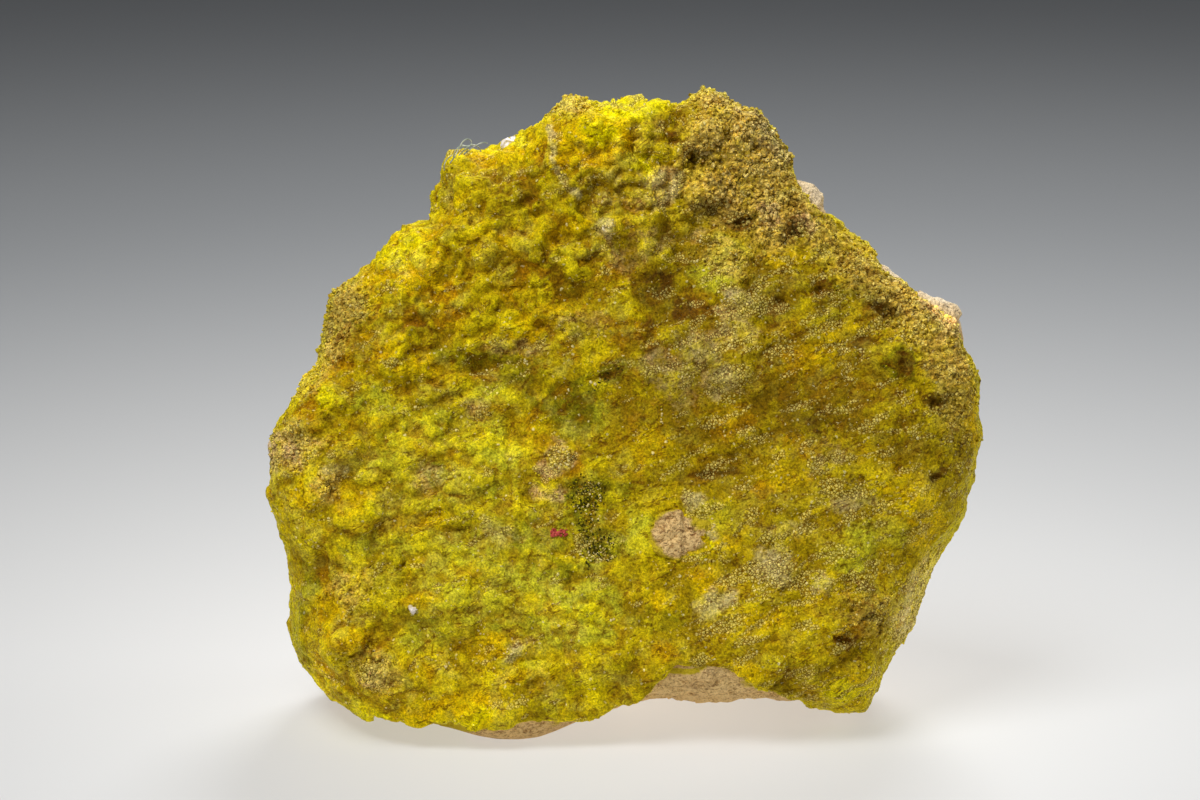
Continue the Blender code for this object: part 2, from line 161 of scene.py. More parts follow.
def grains(places, size, seed):
    """Rounded grains about size mm across: 0.5 on each grain's top and -0.5 in the gaps."""
    nearest = np.full(len(places), 9.0)
    for _, away in cells_round(places, size, seed, 3.91):
        nearest = np.minimum(nearest, (away ** 2).sum(axis=1))
    return np.clip(1 - nearest / 0.62, 0, 1) - 0.5


def plates(places, size, seed):
    """Little tilted plates about size mm across, from about -1 to 1, with a step where one ends and the next begins."""
    nearest = np.full(len(places), 9.0)
    height = np.zeros(len(places))
    for there, away in cells_round(places, size, seed, 2.73):
        distance = (away ** 2).sum(axis=1)
        tilt = three_chances(there, seed + 4) * 2 - 1
        height = np.where(distance < nearest, (away * tilt).sum(axis=1) + chance(there, seed + 7) - 0.5, height)
        nearest = np.minimum(nearest, distance)
    return height * 1.2


def astray(places, amount, seed):
    """The places moved about by some mm, so that forms laid on them get ragged outlines."""
    moved = places.copy()
    for axis in (0, 2):
        for size, share in ((3.4, 1.0), (1.5, 0.6), (0.7, 0.35)):
            moved[:, axis] += amount * share * swells(places, size, seed + axis * 7 + int(size * 10))
    return moved


def from_middle(places, across, height, half_width, half_height, turn):
    """How far each place is from a turned oval's middle: 1 on the oval's line."""
    angle = math.radians(turn)
    right = places[:, 0] - across
    above = places[:, 2] - height
    along = (right * math.cos(angle) + above * math.sin(angle)) / half_width
    aside = (above * math.cos(angle) - right * math.sin(angle)) / half_height
    return np.sqrt(along ** 2 + aside ** 2)


def eased(share):
    """The share from 0 to 1, easing off at both ends."""
    return share * share * (3 - 2 * share)


def between(values, start, end):
    """0 up to the start, 1 from the end on, and the share of the way between them."""
    return np.clip((values - start) / (end - start), 0, 1)


def ovals(spots):
    """Each spot's oval, its turn included, and the strength of the spot."""
    return [((*spot[:4], *spot[5:], 0)[:5], (*spot, 1)[4]) for spot in spots]


def inside_spots(places, spots, blur=1.1):
    """How far each place is inside the spots: 1 in a spot's middle, 0 well outside."""
    best = np.zeros(len(places))
    for oval, strength in ovals(spots):
        reach = np.clip((1 + blur / 2 - from_middle(places, *oval)) / blur, 0, 1)
        best = np.maximum(best, eased(reach) * strength)
    return best


def pulled(places, pulls):
    """The places after the corners of the outline are pulled to their real points."""
    moved = places.copy()
    for across, height, radius, right, above in pulls:
        share = np.exp(-(np.hypot(places[:, 0] - across, places[:, 2] - height) / radius) ** 2)
        moved[:, 0] += right * share
        moved[:, 2] += above * share
    return moved


def points_of(mesh):
    """The mesh's points in metres, as an array."""
    flat = np.zeros(len(mesh.vertices) * 3)
    mesh.vertices.foreach_get("co", flat)
    return flat.reshape(-1, 3)


def outward_of(mesh):
    """The way out of the surface at each of the mesh's points."""
    flat = np.zeros(len(mesh.vertices) * 3, dtype=np.float32)
    mesh.vertex_normals.foreach_get("vector", flat)
    return flat.reshape(-1, 3).astype(float)


def set_points(mesh, points):
    """Gives the mesh its new points."""
    mesh.vertices.foreach_set("co", points.astype(np.float32).ravel())
    mesh.update()


def add_mesh(name, mesh, *materials):
    """A shown object with that mesh and no other materials than those, at the frame's origin."""
    made = bpy.data.objects.new(name, mesh)
    bpy.context.scene.collection.objects.link(made)
    mesh.materials.clear()
    for material in materials:
        mesh.materials.append(material)
    return made


def settled(made, *modifiers):
    """Gives the object those modifiers, each a kind and its settings, and makes their result its own mesh."""
    for kind, settings in modifiers:
        modifier = made.modifiers.new(kind.lower(), kind)
        for name, value in settings.items():
            setattr(modifier, name, value)
    graph = bpy.context.evaluated_depsgraph_get()
    result = bpy.data.meshes.new_from_object(made.evaluated_get(graph))
    made.modifiers.clear()
    made.data = result
    return result


def thinned(made, hidden, kept):
    """Leaves that share of the object's faces, and takes the others only where its points are hidden."""
    group = made.vertex_groups.new(name="hidden")
    group.add(np.nonzero(hidden)[0].tolist(), 1.0, "REPLACE")
    return settled(made, ("DECIMATE", {"ratio": kept, "vertex_group": "hidden", "vertex_group_factor": 1000.0}))


def softened(mesh, points, rounds):
    """The points after they have moved halfway to their neighbours' middle so many times."""
    ends = np.zeros(len(mesh.edges) * 2, dtype=np.int64)
    mesh.edges.foreach_get("vertices", ends)
    one, other = np.concatenate((ends.reshape(-1, 2), ends.reshape(-1, 2)[:, ::-1])).T
    shared = np.bincount(one, minlength=len(points))
    for _ in range(rounds):
        middle = np.stack([np.bincount(one, points[other, axis], len(points)) for axis in range(3)], axis=1)
        points = (points + middle / np.maximum(shared, 1)[:, None]) / 2
    return points


def nearest_on(node_name, points):
    """For each point, the nearest point of that node's surface and the way out there."""
    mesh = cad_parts[node_name].data
    tree = BVHTree.FromPolygons([tuple(v) for v in points_of(mesh)], [tuple(face.vertices) for face in mesh.polygons])
    return [tree.find_nearest(Vector(point))[:2] for point in points]


def depth_in(points, node_name):
    """How deep each point lies inside that node, in mm, below zero outside it."""
    return np.array([
        (near - Vector(point)).dot(out) * MM for point, (near, out) in zip(points, nearest_on(node_name, points))])


def set_values(mesh, name, values):
    """Stores one number per point for the materials to read."""
    layer = mesh.attributes.new(name, "FLOAT", "POINT")
    layer.data.foreach_set("value", values.astype(np.float32))


def linear(colour):
    """An sRGB hex colour as Blender's linear red, green, blue and alpha."""
    parts = [int(colour[place:place + 2], 16) / 255 for place in (1, 3, 5)]
    return tuple(c / 12.92 if c <= 0.04045 else ((c + 0.055) / 1.055) ** 2.4 for c in parts) + (1.0,)


def add_node(tree, kind, settings, sockets):
    """A node of that kind with its settings, a ramp's stops among them. Each named socket gets
    a value, a hex colour or a link, from another node's first open output or from the output given."""
    made = tree.nodes.new("ShaderNode" + kind)
    for name, value in settings.items():
        if name == "stops":
            for stop, (position, tone) in zip(made.color_ramp.elements, value):
                stop.position, stop.color = position, linear(tone)
        else:
            setattr(made, name, value)
    for name, value in sockets.items():
        if isinstance(value, bpy.types.Node):
            value = next(output for output in value.outputs if output.enabled)
        if isinstance(value, bpy.types.NodeSocket):
            tree.links.new(value, made.inputs[name])
        else:
            made.inputs[name].default_value = linear(value) if isinstance(value, str) else value
    return made


def new_material(name):
    """An empty material, its node tree, and the place on the object that its patterns read."""
    made = bpy.data.materials.new(name)
    made.use_nodes = True
    tree = made.node_tree
    tree.nodes.clear()
    return made, tree, add_node(tree, "TexCoord", {}, {}).outputs["Object"]


# Limestone, broken fresh: fine sugary grains about 0.3 mm across, pinkish tan
# with paler grains and rusty brown gaps. It is dull, and each broken grain gives
# a faint sparkle. Grains of 0.3 mm are wide enough to show, so they are drawn as is.
COLOURS = {"data_type": "RGBA"}  # for a mix of colours, not of numbers
limestone, tree, place = new_material("limestone_broken_face")
pale_and_rim_lit, porous, powder = [
    add_node(tree, "Attribute", {"attribute_name": name}, {}).outputs["Fac"]
    for name in ("pale_and_rim_lit", "porous", "powder")]
bedded = add_node(tree, "VectorMath", {"operation": "MULTIPLY"}, {0: place, 1: (0.9, 1.0, 1.15)})
beds, stain, dusting, pores = [
    add_node(tree, "TexNoise", {}, {"Vector": where, "Scale": MM / size, "Detail": detail, "Roughness": roughness})
    for where, size, detail, roughness in (
        (place, 9, 4, 0.6), (place, 3, 6, 0.7), (bedded, 0.3, 3, 0.7), (bedded, 0.55, 4, 0.75))]
sugar = add_node(tree, "TexVoronoi", {}, {"Vector": place, "Scale": MM / 0.3})
bed_tone, stain_tone, dust_tone = [
    add_node(tree, "ValToRGB", {"stops": ((low, dark), (high, light))}, {"Fac": pattern})
    for pattern, low, dark, high, light in (
        (beds, 0.34, "#ECB05A", 0.68, "#FFD488"), (stain, 0.40, "#BC8040", 0.56, "#FFCC7C"),
        (dusting, 0.36, "#6E461E", 0.49, "#FFE4A4"))]
pore_share = add_node(tree, "MapRange", {}, {"Value": pores, "From Min": 0.53, "From Max": 0.6, "To Max": 0.75})
pore_shown = add_node(tree, "Math", {"operation": "MULTIPLY"}, {0: pore_share, 1: porous})
powder_edge = add_node(tree, "Math", {"operation": "ADD"}, {0: powder, 1: dusting})
powder_share = add_node(tree, "MapRange", {}, {
    "Value": powder_edge, "From Min": 0.75, "From Max": 1.15, "To Max": 0.95})
colour = bed_tone
for share, tone in (
    (0.45, stain_tone), (0.5, dust_tone), (pale_and_rim_lit, "#FFF0D2"), (pore_shown, "#8A5A2C"), (powder_share, "#D4BA10"),
):
    colour = add_node(tree, "Mix", COLOURS, {0: share, 6: colour, 7: tone})
sugar_bump = add_node(tree, "Bump", {}, {"Strength": 0.8, "Distance": 0.25 / MM, "Height": sugar})
dust_bump = add_node(tree, "Bump", {}, {
    "Strength": 0.9, "Distance": 0.4 / MM, "Height": dusting, "Normal": sugar_bump})
surface = add_node(tree, "BsdfPrincipled", {}, {
    "Base Color": colour, "Roughness": 0.82, "IOR": 1.5, "Specular IOR Level": 0.2, "Normal": dust_bump})
add_node(tree, "OutputMaterial", {}, {"Surface": surface})

rock = add_mesh("matrix_rock_broken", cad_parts["matrix_rock"].data.copy())
rock_mesh = settled(rock, ("REMESH", {"mode": "VOXEL", "voxel_size": ROCK_MESH_STEP / MM}))
rock_points = softened(rock_mesh, points_of(rock_mesh), ROCK_SOFTENING)
set_points(rock_mesh, rock_points)
rock_mesh = thinned(
    rock, (depth_in(rock_points, "chromatite_crust") > ROCK_UNDER_CRUST)
    & (inside_spots(on_face(rock_points), BARE_WINDOW, 0.8) == 0), ROCK_KEPT)
rock_points = points_of(rock_mesh)
rock_places = on_face(rock_points)
rock_depth = rock_places[:, 1]
back_here = between(rock_depth, BACK_FROM, BACK_WHOLE)
window_here = inside_spots(astray(rock_places, 0.45, 25), BARE_WINDOW, 0.36) * (rock_depth < WINDOW_WITHIN)
rock_lift = (  # mm; each form has its size in mm, then its seed
    0.22 * (np.abs(swells(rock_places, 2.6, 22)) - 0.3)
    + 0.24 * plates(rock_places, 3.4, 27)
    + 0.12 * plates(rock_places, 1.5, 28)
    + 0.12 * swells(rock_places, 1.1, 23)
    + 0.13 * grains(rock_places, 0.9, 21)
    - 0.28 * np.clip(swells(rock_places, 1.6, 24) - 0.55, 0, 1) * 2
    + window_here * (WINDOW_RISE + 0.16 * creased(rock_places, 1.3, 34) + 0.2 * grains(rock_places, 0.6, 35))
    + back_here * (0.45 * plates(astray(rock_places, 0.8, 31), 9.0, 29) + 0.3 * swells(rock_places, 6.0, 32) - 0.15)
)
clear_of_base = between(rock_points[:, 2] * MM, ROCK_BASE_GUARD, BASE_BLEND)[:, None]
rock_points += outward_of(rock_mesh) * rock_lift[:, None] * clear_of_base / MM
rock_points += (off_face(pulled(rock_places, CORNER_PULLS + ROCK_PULLS)) - off_face(rock_places)) * clear_of_base
rock_points[:, 2] = np.maximum(rock_points[:, 2], 0)
set_points(rock_mesh, rock_points)
window_side = np.clip(1 - np.abs(from_middle(astray(rock_places, 0.3, 36), *WINDOW_SIDE) - 1.05) * 4, 0, 1)
# paler where weathered, and painted rim light along the upper right edge
set_values(rock_mesh, "pale_and_rim_lit", inside_spots(astray(rock_places, 0.4, 33), BLEACHED))
set_values(rock_mesh, "porous", inside_spots(rock_places, POROUS))
set_values(rock_mesh, "powder", np.maximum(
    inside_spots(astray(rock_places, 0.4, 26), POWDERED), window_side) * (rock_depth < POWDER_WITHIN))
rock_mesh.materials.append(limestone)
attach(rock, "root")
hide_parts("matrix_rock")


# ------------------------------ chromatite crust
# Yellow calcium chromate that grew as a coat one or two mm thick over the slab's
# face and round its rim: waxy lumps on the left, sandy grains towards the upper
# right, and thin ragged lemon edges where it stops. It is bonded to the rock.

CRUST_MESH_STEP = 0.25  # mm between its mesh points
CRUST_ROOTING = 0.9  # mm that its hidden side goes into the rock
HIDDEN_SIDE_WITHIN = 0.45  # mm from the rock: the hidden side
CRUST_SOFTENING = 5
CRUST_CLEARANCE = 0.25  # mm that its lowest edge keeps above the table
CRUST_SUNK = 0.1  # mm inside the rock: what can't be seen of it
CRUST_KEPT = 0.57  # the share of its faces left once what can't be seen is thinned
LEAST_SHOWING = -0.3  # mm of depth in the rock: what lies above it shows

# The crust's pigments and its painted rim glow: each one's colour, how much of it shows, and the places on the face
# where it lies.
PIGMENTS_AND_RIM_GLOW = {
    "umber": ("#7E5E06", 0.75, [
        (9, 33, 18, 10, 0.6), (8, 41, 9, 4, 0.5), (16, 30.5, 7, 4, 0.85), (9, 28.4, 3, 2.2, 0.8),
        (25.4, 27, 3, 3.4, 0.6), (-9, 48.6, 2.4, 1.2), (-11, 50.4, 2.6, 1.2), (2.5, 39.5, 1.6, 1.4, 0.9),
        (-25, 35.2, 1.6, 1.4, 0.7), (-8, 43.4, 2.6, 1.4, 1, -10), (-6.2, 41.4, 2.4, 1.4, 1, -15), (-19, 37.9, 3, 1.2),
        (-23.4, 37.2, 1.6, 1.3), (1.6, 54.4, 2.4, 0.9), (8, 48, 2.8, 1), (0.4, 48.5, 2, 0.8, 0.8),
        (11.6, 43, 1.6, 1.2, 0.7), (14.6, 40.4, 1.6, 1.2), (-22.6, 3.9, 2.8, 1.2, 0.6, -6),
        (0.6, 5.8, 2.6, 1, 1, -30), (14.2, 6.4, 0.8, 1.4), (-10, 2.5, 1.8, 0.8, 0.7), (-19.2, 15.6, 1.6, 1.6, 0.6),
        (7.4, 24.2, 3.4, 0.8, 1, 6), (18, 20, 3, 1.2, 0.5), (-2, 43.6, 3, 2, 0.5), (0.4, 41, 3, 2.4, 0.6),
        (-15.6, 18.6, 1.6, 0.8), (21, 33.4, 3.6, 2, 0.5), (-24.6, 8, 1.4, 0.6), (19.4, 11.6, 2.8, 2, 0.5),
        (-13, 39, 2.6, 1.2, 0.6), (-16.5, 50, 1.6, 1.2, 0.7),
    ]),
    "olive": ("#74700A", 0.85, [
        (-2.6, 32.6, 2.8, 1.2, 1, 25), (-4.4, 29.4, 2.6, 2), (-7, 31, 2, 1.6, 0.7), (-3.2, 21.6, 2.6, 2.4),
        (-2.4, 17.6, 2.4, 1.8), (-8, 18, 2.2, 2.4, 0.9), (-6, 15.6, 2, 1.2, 0.8), (-0.8, 22.6, 1.6, 1.2, 0.7),
        (-28.4, 12.6, 1.4, 3.6, 0.8), (-29.2, 9, 1.6, 2.6, 0.7), (21.6, 14.2, 1.4, 0.8, 0.6), (22, 17.6, 1.6, 1, 0.4),
        (-14.4, 34.6, 3.4, 1.4, 0.7), (-18.4, 29.6, 2.4, 1.2, 0.5), (24.6, 34, 1.4, 1.2), (13.6, 39, 2.4, 1.2, 0.6),
        (-9.6, 33.6, 3, 1.6, 0.6), (20.6, 40.4, 2.4, 1.4, 0.6), (2.6, 11, 3, 1.4, 0.5), (-12.6, 22, 2, 1.6, 0.5),
        (-17.6, 24, 1.6, 1.6, 0.6), (-11, 10, 2, 1, 0.5),
    ]),
    "lime": ("#C9C62C", 0.8, [
        (-6, 10.6, 3.4, 2.2, 0.9), (20, 16.4, 2.6, 1.6, 0.7), (-20, 17.6, 2, 1.2, 0.6), (-1.4, 29.6, 2, 1.4, 0.4),
        (-14, 17, 15, 12, 0.42, -10), (-16.4, 28.2, 5.4, 1.4, 0.9), (-12, 26.4, 2.8, 1.9, 1, -12),
        (-20, 27.6, 2.4, 1.4, 0.8), (-22.6, 30.4, 2.2, 1.4, 0.8), (-3.4, 12, 2.8, 2.8, 1, -15),
        (-8.4, 14.6, 3.6, 1.4, 1, -22), (-13, 16.6, 3, 1.2, 0.9, -15), (1.2, 18.8, 1.4, 1.9, 0.7),
        (-2.6, 9.4, 2, 1, 0.8), (9.2, 43.8, 1.8, 1.8, 0.8), (8.2, 41.8, 2.4, 1.2, 0.7), (-14.6, 12.6, 4, 2, 0.7),
        (-22, 24.6, 2.6, 2, 0.6), (-12, 31.2, 3, 1.4, 0.7), (-23.6, 17.4, 2.4, 1.6, 0.6), (9, 20.6, 2.6, 1.4, 0.5),
        (23, 18.6, 3, 1.4, 0.6, 10), (-18, 9.6, 3, 1.6, 0.6), (18.8, 37.4, 2.4, 1.6, 0.5),
    ]),
    "gold": ("#DFB800", 0.85, [
        (-12.6, 52.6, 2.6, 1.2), (-9.6, 53.8, 1.6, 1.2), (-19.4, 44.8, 2.6, 1.4, 1, 25), (-18.8, 42.8, 3.2, 2.2),
        (-23, 42, 2.8, 1.2, 1, 15), (-2, 54, 3, 2.2), (-5.4, 53.4, 1.8, 2.2, 0.8), (-4.2, 46.7, 1.8, 0.9, 1, 10),
        (-7.4, 46, 1.8, 1, 0.6), (-12, 45.4, 2.4, 1.4, 0.8), (-15.4, 47.2, 2, 1.8, 0.7), (-21.4, 35.8, 2.4, 1.4, 0.9),
        (-18, 33.6, 2.6, 1, 0.7), (-9.4, 37.2, 3.4, 0.9, 1, 8), (-5.8, 38.9, 2.2, 0.8, 0.8),
        (-15.4, 2.8, 4.6, 1.5, 1, 8), (-8.6, 6.4, 2.2, 1.3), (-18.4, 12.8, 2.4, 1, 0.7), (-12.6, 8.6, 2.4, 1, 0.7),
        (-29.4, 21.8, 1.8, 1.4), (-24, 21.3, 2.6, 1.2, 0.9), (-17.4, 20.2, 2.4, 1, 0.8), (-26.8, 12.4, 1.4, 1.4, 0.8),
        (-27.6, 9.6, 1.6, 2.6, 0.7), (-17.2, 7, 2.2, 1.2, 0.7), (14.6, 23.8, 3.6, 1.2, 0.4, 5), (24, 22.6, 2, 3, 0.4),
        (7.6, 14.2, 1.8, 1, 0.8), (3.4, 12.8, 1.6, 1.2, 0.7), (12, 11, 3, 1.2, 0.6), (11, 6.2, 2.4, 1.2, 0.7),
        (19, 37.2, 2.2, 1.2, 0.7), (14.4, 43.6, 1.6, 1, 0.8), (19.4, 42.4, 1.4, 1.2, 0.7),
        (26.6, 21, 1.6, 3.6, 0.8, 10), (21, 5.2, 3, 1.6, 0.6), (9, 18.4, 3, 1, 0.6, 20), (2, 26.4, 2.6, 1.6, 0.5),
        (-10, 40, 3, 1, 0.5, 10), (6.8, 49.7, 1.6, 0.9, 0.8), (17, 34.4, 3.4, 1.6, 0.5), (31.8, 28, 1, 5, 0.8, 5),
    ]),
    "orange": ("#C08800", 0.7, [
        (-25, 9.2, 1.8, 1.2), (-28.6, 29, 1.6, 1.1), (-25.2, 34.2, 1.8, 1.8, 0.9), (-27.6, 31, 2, 1.2, 0.9, -30),
        (-17, 40.6, 2.4, 1.4, 0.8), (-15.8, 38.2, 1.6, 1.2, 0.7), (-24.8, 26.2, 1.8, 1, 0.7),
        (-5.6, 24.6, 1.8, 1, 0.7), (9.4, 28.6, 2.4, 1.6, 0.5), (20.4, 9.8, 1.4, 1, 0.8), (16, 26.4, 2, 1, 0.5),
        (-26, 11, 1, 0.8, 0.7), (-17.6, 43.8, 1.6, 1, 0.6), (3.4, 7.6, 1.8, 1, 0.6), (12.4, 22.6, 1.6, 1, 0.6),
        (6.6, 15, 1.6, 0.8, 0.5), (-9, 42.6, 1.6, 1, 0.5), (15.6, 33.8, 2.6, 1.4, 0.4), (1, 37.6, 1.6, 1.4, 0.5),
        (-21.6, 28.6, 1.2, 0.8, 0.6),
    ]),
    "sandy": ("#DCB64C", 0.8, [
        (10.5, 52.5, 5, 5.6, 1, -25), (9.5, 57, 4, 1.6, 1, -15), (13.6, 47.4, 3.6, 3.4, 0.75, -35),
        (20, 43.8, 5.4, 2.4, 0.55, -42), (26.5, 38.5, 5, 3, 0.7, -42), (29.4, 33.5, 2.4, 6, 0.6, 8),
        (-25.3, 39.4, 2.4, 2.4, 1, -30), (-26.8, 36.2, 1.6, 3, 1, -10), (-28.6, 33, 1.6, 2.4, 0.8, -20),
        (-30, 26.4, 2.4, 2), (-24.8, 13.8, 2.2, 2, 0.6), (-4.6, 57.2, 2.4, 1.2), (-22.6, 5.8, 2.4, 1.8, 0.9, -20),
        (9, 43.6, 2.6, 2, 0.5), (11, 48.6, 3, 2, 0.8), (-27, 22.6, 1.4, 1.6, 0.7), (22.5, 11.5, 3.2, 3, 0.4),
    ]),
    "pale": ("#DCC98A", 0.8, [
        (-25.3, 39.4, 2.2, 2.2, 0.35, -30), (-26.8, 36.2, 1.3, 2.8, 0.35, -10), (-30, 26.4, 2, 1.8, 0.6),
        # the entries at (29.4, 38.2) and (24.6, 42.4) are painted rim light along the upper right edge
        (0, 50, 4, 3, 0.35), (29.4, 38.2, 2.8, 0.7, 1.2, -48), (24.6, 42.4, 2, 0.5, 1, -40), (-4.6, 57, 2, 0.9, 0.6),
        (9.6, 57.2, 3, 0.6, 0.7, -18), (4.6, 33, 3.4, 3, 0.5), (3.2, 34.4, 1.6, 1.6, 0.5), (9, 32.4, 2, 1.8, 0.7),
        (10, 37, 2, 1.6, 0.6), (-4, 37.6, 3, 1.6, 0.5), (3.4, 50, 1.9, 1.4), (-1.5, 46.2, 0.9, 0.8),
        (13.4, 15.6, 2, 2.2, 0.9), (17.6, 14, 1.1, 1.1), (8.6, 12.7, 1.6, 1.1, 0.9), (6.4, 21.8, 1.1, 1.1, 0.8),
        (7.7, 19.3, 0.8, 1), (18.2, 25.2, 2.8, 1.4, 0.45, 8), (20.6, 21.4, 2.6, 1.2, 0.6),
        (26.8, 12.4, 1.6, 4.6, 1.3, -24), (0, 44, 2.4, 2, 0.45), (-19, 43, 2.2, 1.2, 0.5, 20), (0, 57.8, 4, 0.6, 0.6),
        (-9.9, 8, 1.7, 0.7, 0.9, 38), (-6.5, 54.3, 0.5, 0.9, 1, 8), (-6.2, 52.7, 0.5, 0.9, 1, -6),
        (-5.6, 51.1, 0.5, 0.8, 1, 28), (-4.8, 49.7, 0.5, 0.8, 1, 30), (10.2, 40, 1.3, 0.9, 1, -30),
        (-32.3, 26, 0.9, 2.6), (-13.6, 29.8, 2, 1, 0.6), (7.2, 12, 1.4, 1.4, 0.6), (-22.4, 5.6, 1.8, 1.2, 0.6),
        (-11.4, 18.6, 2.4, 1, 0.6, -20), (-18, 23.8, 1.6, 1.2, 0.6), (7, 35.6, 2.4, 1.6, 0.6), (2, 45, 3, 1.4, 0.5),
        (29.4, 36.6, 1.6, 2, 0.6), (-10.2, 35.6, 3, 1, 0.5), (14.6, 19, 2.4, 1, 0.6), (6.4, 45.6, 1.4, 1, 0.5),
        (12.6, 54, 2.8, 0.9, 1, -58), (-26, 24, 1.2, 1.2, 0.6),
    ]),
    "lemon": ("#ECDF00", 0.85, [
        (-19.4, 43.6, 2.6, 1.3, 0.7, 20), (20.4, 4.2, 2.6, 1.4, 0.6, 20), (-4, 5, 5, 1, 0.5, 24),
        (-22, 1.8, 4, 0.8, 0.7, -14), (4.2, 16.7, 1.6, 0.2, 0.8), (3.2, 20.6, 1, 0.2, 0.7, 20),
        (5.6, 20.2, 0.9, 0.2, 0.7, -40), (7.4, 18, 0.25, 0.7, 0.8, 30), (6.4, 16.8, 1, 0.2, 0.8, 10),
        (2.5, 18, 0.25, 1.2, 0.7), (0.6, 57, 3.6, 1.4), (-2.4, 54.6, 1.8, 1.2, 0.7), (1.6, 51.7, 2.6, 1.1, 0.6),
        (-26.8, 30.5, 1.2, 0.7, 1, -12), (-3.2, 11.6, 1.4, 1.8, 0.5), (-14.6, 2.4, 3, 0.8, 0.7, 8),
        (-8.2, 6.8, 1.2, 0.8, 0.6), (-21, 44, 1.6, 0.8, 0.6), (-10, 54.2, 1.2, 0.7, 0.8),
        (13.4, 7.4, 1.2, 0.6, 0.3, 10), (-22.4, 20.8, 1.4, 0.6, 0.6),
    ]),
    "pink": ("#DCB27C", 0.75, [
        (-5.8, 26.1, 1.4, 1, 1, -20), (-6.9, 24.9, 1.2, 0.8, 0.8), (-6.7, 22.6, 1.5, 0.9, 0.8),
        (-29.6, 26.4, 1.6, 1.2, 0.7), (-32.4, 26, 0.8, 2.4), (-22.8, 5.2, 1, 0.9, 0.7), (16.4, 46.6, 1, 0.8, 0.7),
        # (28.4, 38.4) is painted rim light along the upper right edge
        (28.4, 38.4, 2.4, 1, 0.8, -40), (9.2, 39, 1.4, 1, 0.5), (1.6, 33.6, 1.4, 1.2, 0.4),
        (13.4, 47.6, 1.2, 1.2, 0.6),
    ]),
    "rust": ("#5F390A", 0.85, [
        (6.3, 52.6, 1.2, 0.9), (23, 38.6, 1.7, 1.1, 1, -20), (28.2, 23.7, 1.2, 0.7), (24.7, 34, 1, 0.8),
        (28, 30.4, 1.2, 1, 0.8), (3.3, 41, 1.4, 1.4, 0.8), (6.2, 38.9, 1.6, 0.9, 1, 10), (2, 36.4, 1.1, 1.4),
        (10.4, 47, 1.2, 0.8), (15.5, 46, 1.1, 0.9), (13.8, 39.6, 0.9, 0.7), (17.6, 40.6, 0.9, 0.7),
        (20, 9.1, 1.1, 0.5, 1, -8), (22, 10.9, 1.2, 0.35, 0.7, 10), (-27.8, 16, 0.6, 1.6, 0.4),
        (-19.8, 15.4, 0.8, 0.6, 0.5, -30), (-23.3, 7.3, 1.3, 0.3, 0.6), (8, 24.3, 2.6, 0.5, 0.8, 5),
        (-13.3, 34.2, 0.8, 0.4, 0.4, -30), (21.6, 35.6, 1.6, 0.6, 0.7, 20), (-1.6, 32.8, 1.6, 0.7, 0.7, 25),
        (8, 48.2, 1.6, 0.6), (4.5, 54, 0.7, 0.6), (13.6, 53.6, 0.7, 0.6, 0.6), (-22.2, 3.9, 2.2, 0.8, 0.25),
        (16.4, 28.4, 1.4, 1, 0.5), (-8.8, 48.6, 1.4, 0.7, 0.6), (15, 31, 2, 1, 0.35), (21.4, 14.2, 0.9, 0.6, 0.6),
        (-18.8, 37.6, 1.4, 0.6, 0.5),
    ]),
    "mossy": ("#4A4E08", 0.4, [
        (-3.5, 22, 1.6, 1.5, 0.75, -10), (-2.5, 17.4, 1.7, 1.2, 0.7), (-3.6, 19.6, 1.2, 1.6, 0.5),
        (-1.8, 32.6, 1.6, 0.6, 0.4, 25),
    ]),
    "rim": ("#E0D010", 0.7, []),  # painted rim glow: lighter lemon on what turns away from the front
}
LUMPY = [  # where its lumps stand highest
    (-12, 46, 12, 11, 1.2, 15), (0, 52, 8, 8, 1.8), (-22, 33, 8, 8, 0.7), (-14, 16, 16, 14, 0.45),
    (18, 10, 7, 6, 0.45), (22, 38, 7, 5, 0.5, -45),
]
DEEPER = [  # where it is darker, and the share of its light taken; at the upper left rim (-26, 38.8) this is painted shade
    (-26, 38.8, 2.4, 3.6, 0.24, -10), (4.5, 33, 3.8, 3, 0.15), (-5, 36.5, 2.8, 1.6, 0.15), (2.5, 39.8, 2.4, 2, 0.25),
    (16, 29.4, 4.4, 2.6, 0.2), (14, 42, 2.6, 2, 0.05), (1, 57.6, 5, 0.9, 0.12), (-5.8, 25.4, 1.6, 1.2, 0.2),
    (29, 28, 2.2, 3, 0.2), (-32.6, 26, 0.7, 2.4, 0.1), (12, 20, 3, 2, 0.15), (-25, 35, 2, 1.8, 0.2),
    (-29, 10, 1.4, 2.4, 0.2), (18.2, 25.2, 2.6, 1.4, 0.15), (20, 40, 3, 2.4, 0.1),
]
BRIGHTER = [  # where it is lighter, and the share of light added; along the upper right edge (29, 38.4) this is painted rim light
    (-19, 43, 2.6, 1.8, 0.12, 20), (-10.5, 26.5, 2.6, 1.6, 0.12), (-27.5, 5.5, 1.4, 1.8, 0.45),
    (26.8, 12.2, 1.6, 4.6, 0.35, -24), (-6, 11, 3, 2, 0.1), (-12, 3.4, 3, 1.4, 0.15), (29, 38.4, 1.6, 1.2, 0.75, -42),
    (-22.5, 3.8, 2, 0.9, 0.3), (3.4, 50.4, 2.2, 1.6, 0.2), (0, 4.8, 3, 0.7, 0.15, 24), (19.6, 9.2, 1, 0.5, 0.2, -8),
    (0, 44, 2.4, 2, 0.12), (4, 47, 5, 3, 0.2), (0, 54.5, 6, 3, 0.2), (-25.2, 9.2, 1.6, 1.1, 0.15),
    (26, 12, 1.4, 4, 0.1, -24),
]
ROUND_WINDOW = [(5.2, 18.4, 3.2, 2.6)]  # where the hollows' painted shade is mostly left out
# How its hollows are read: rounds of softening, the mm of dip that count as whole, and the share of each reading.
HOLLOW_READINGS = [(4, 0.05, 0.3), (30, 0.14, 0.45), (160, 0.35, 0.5)]

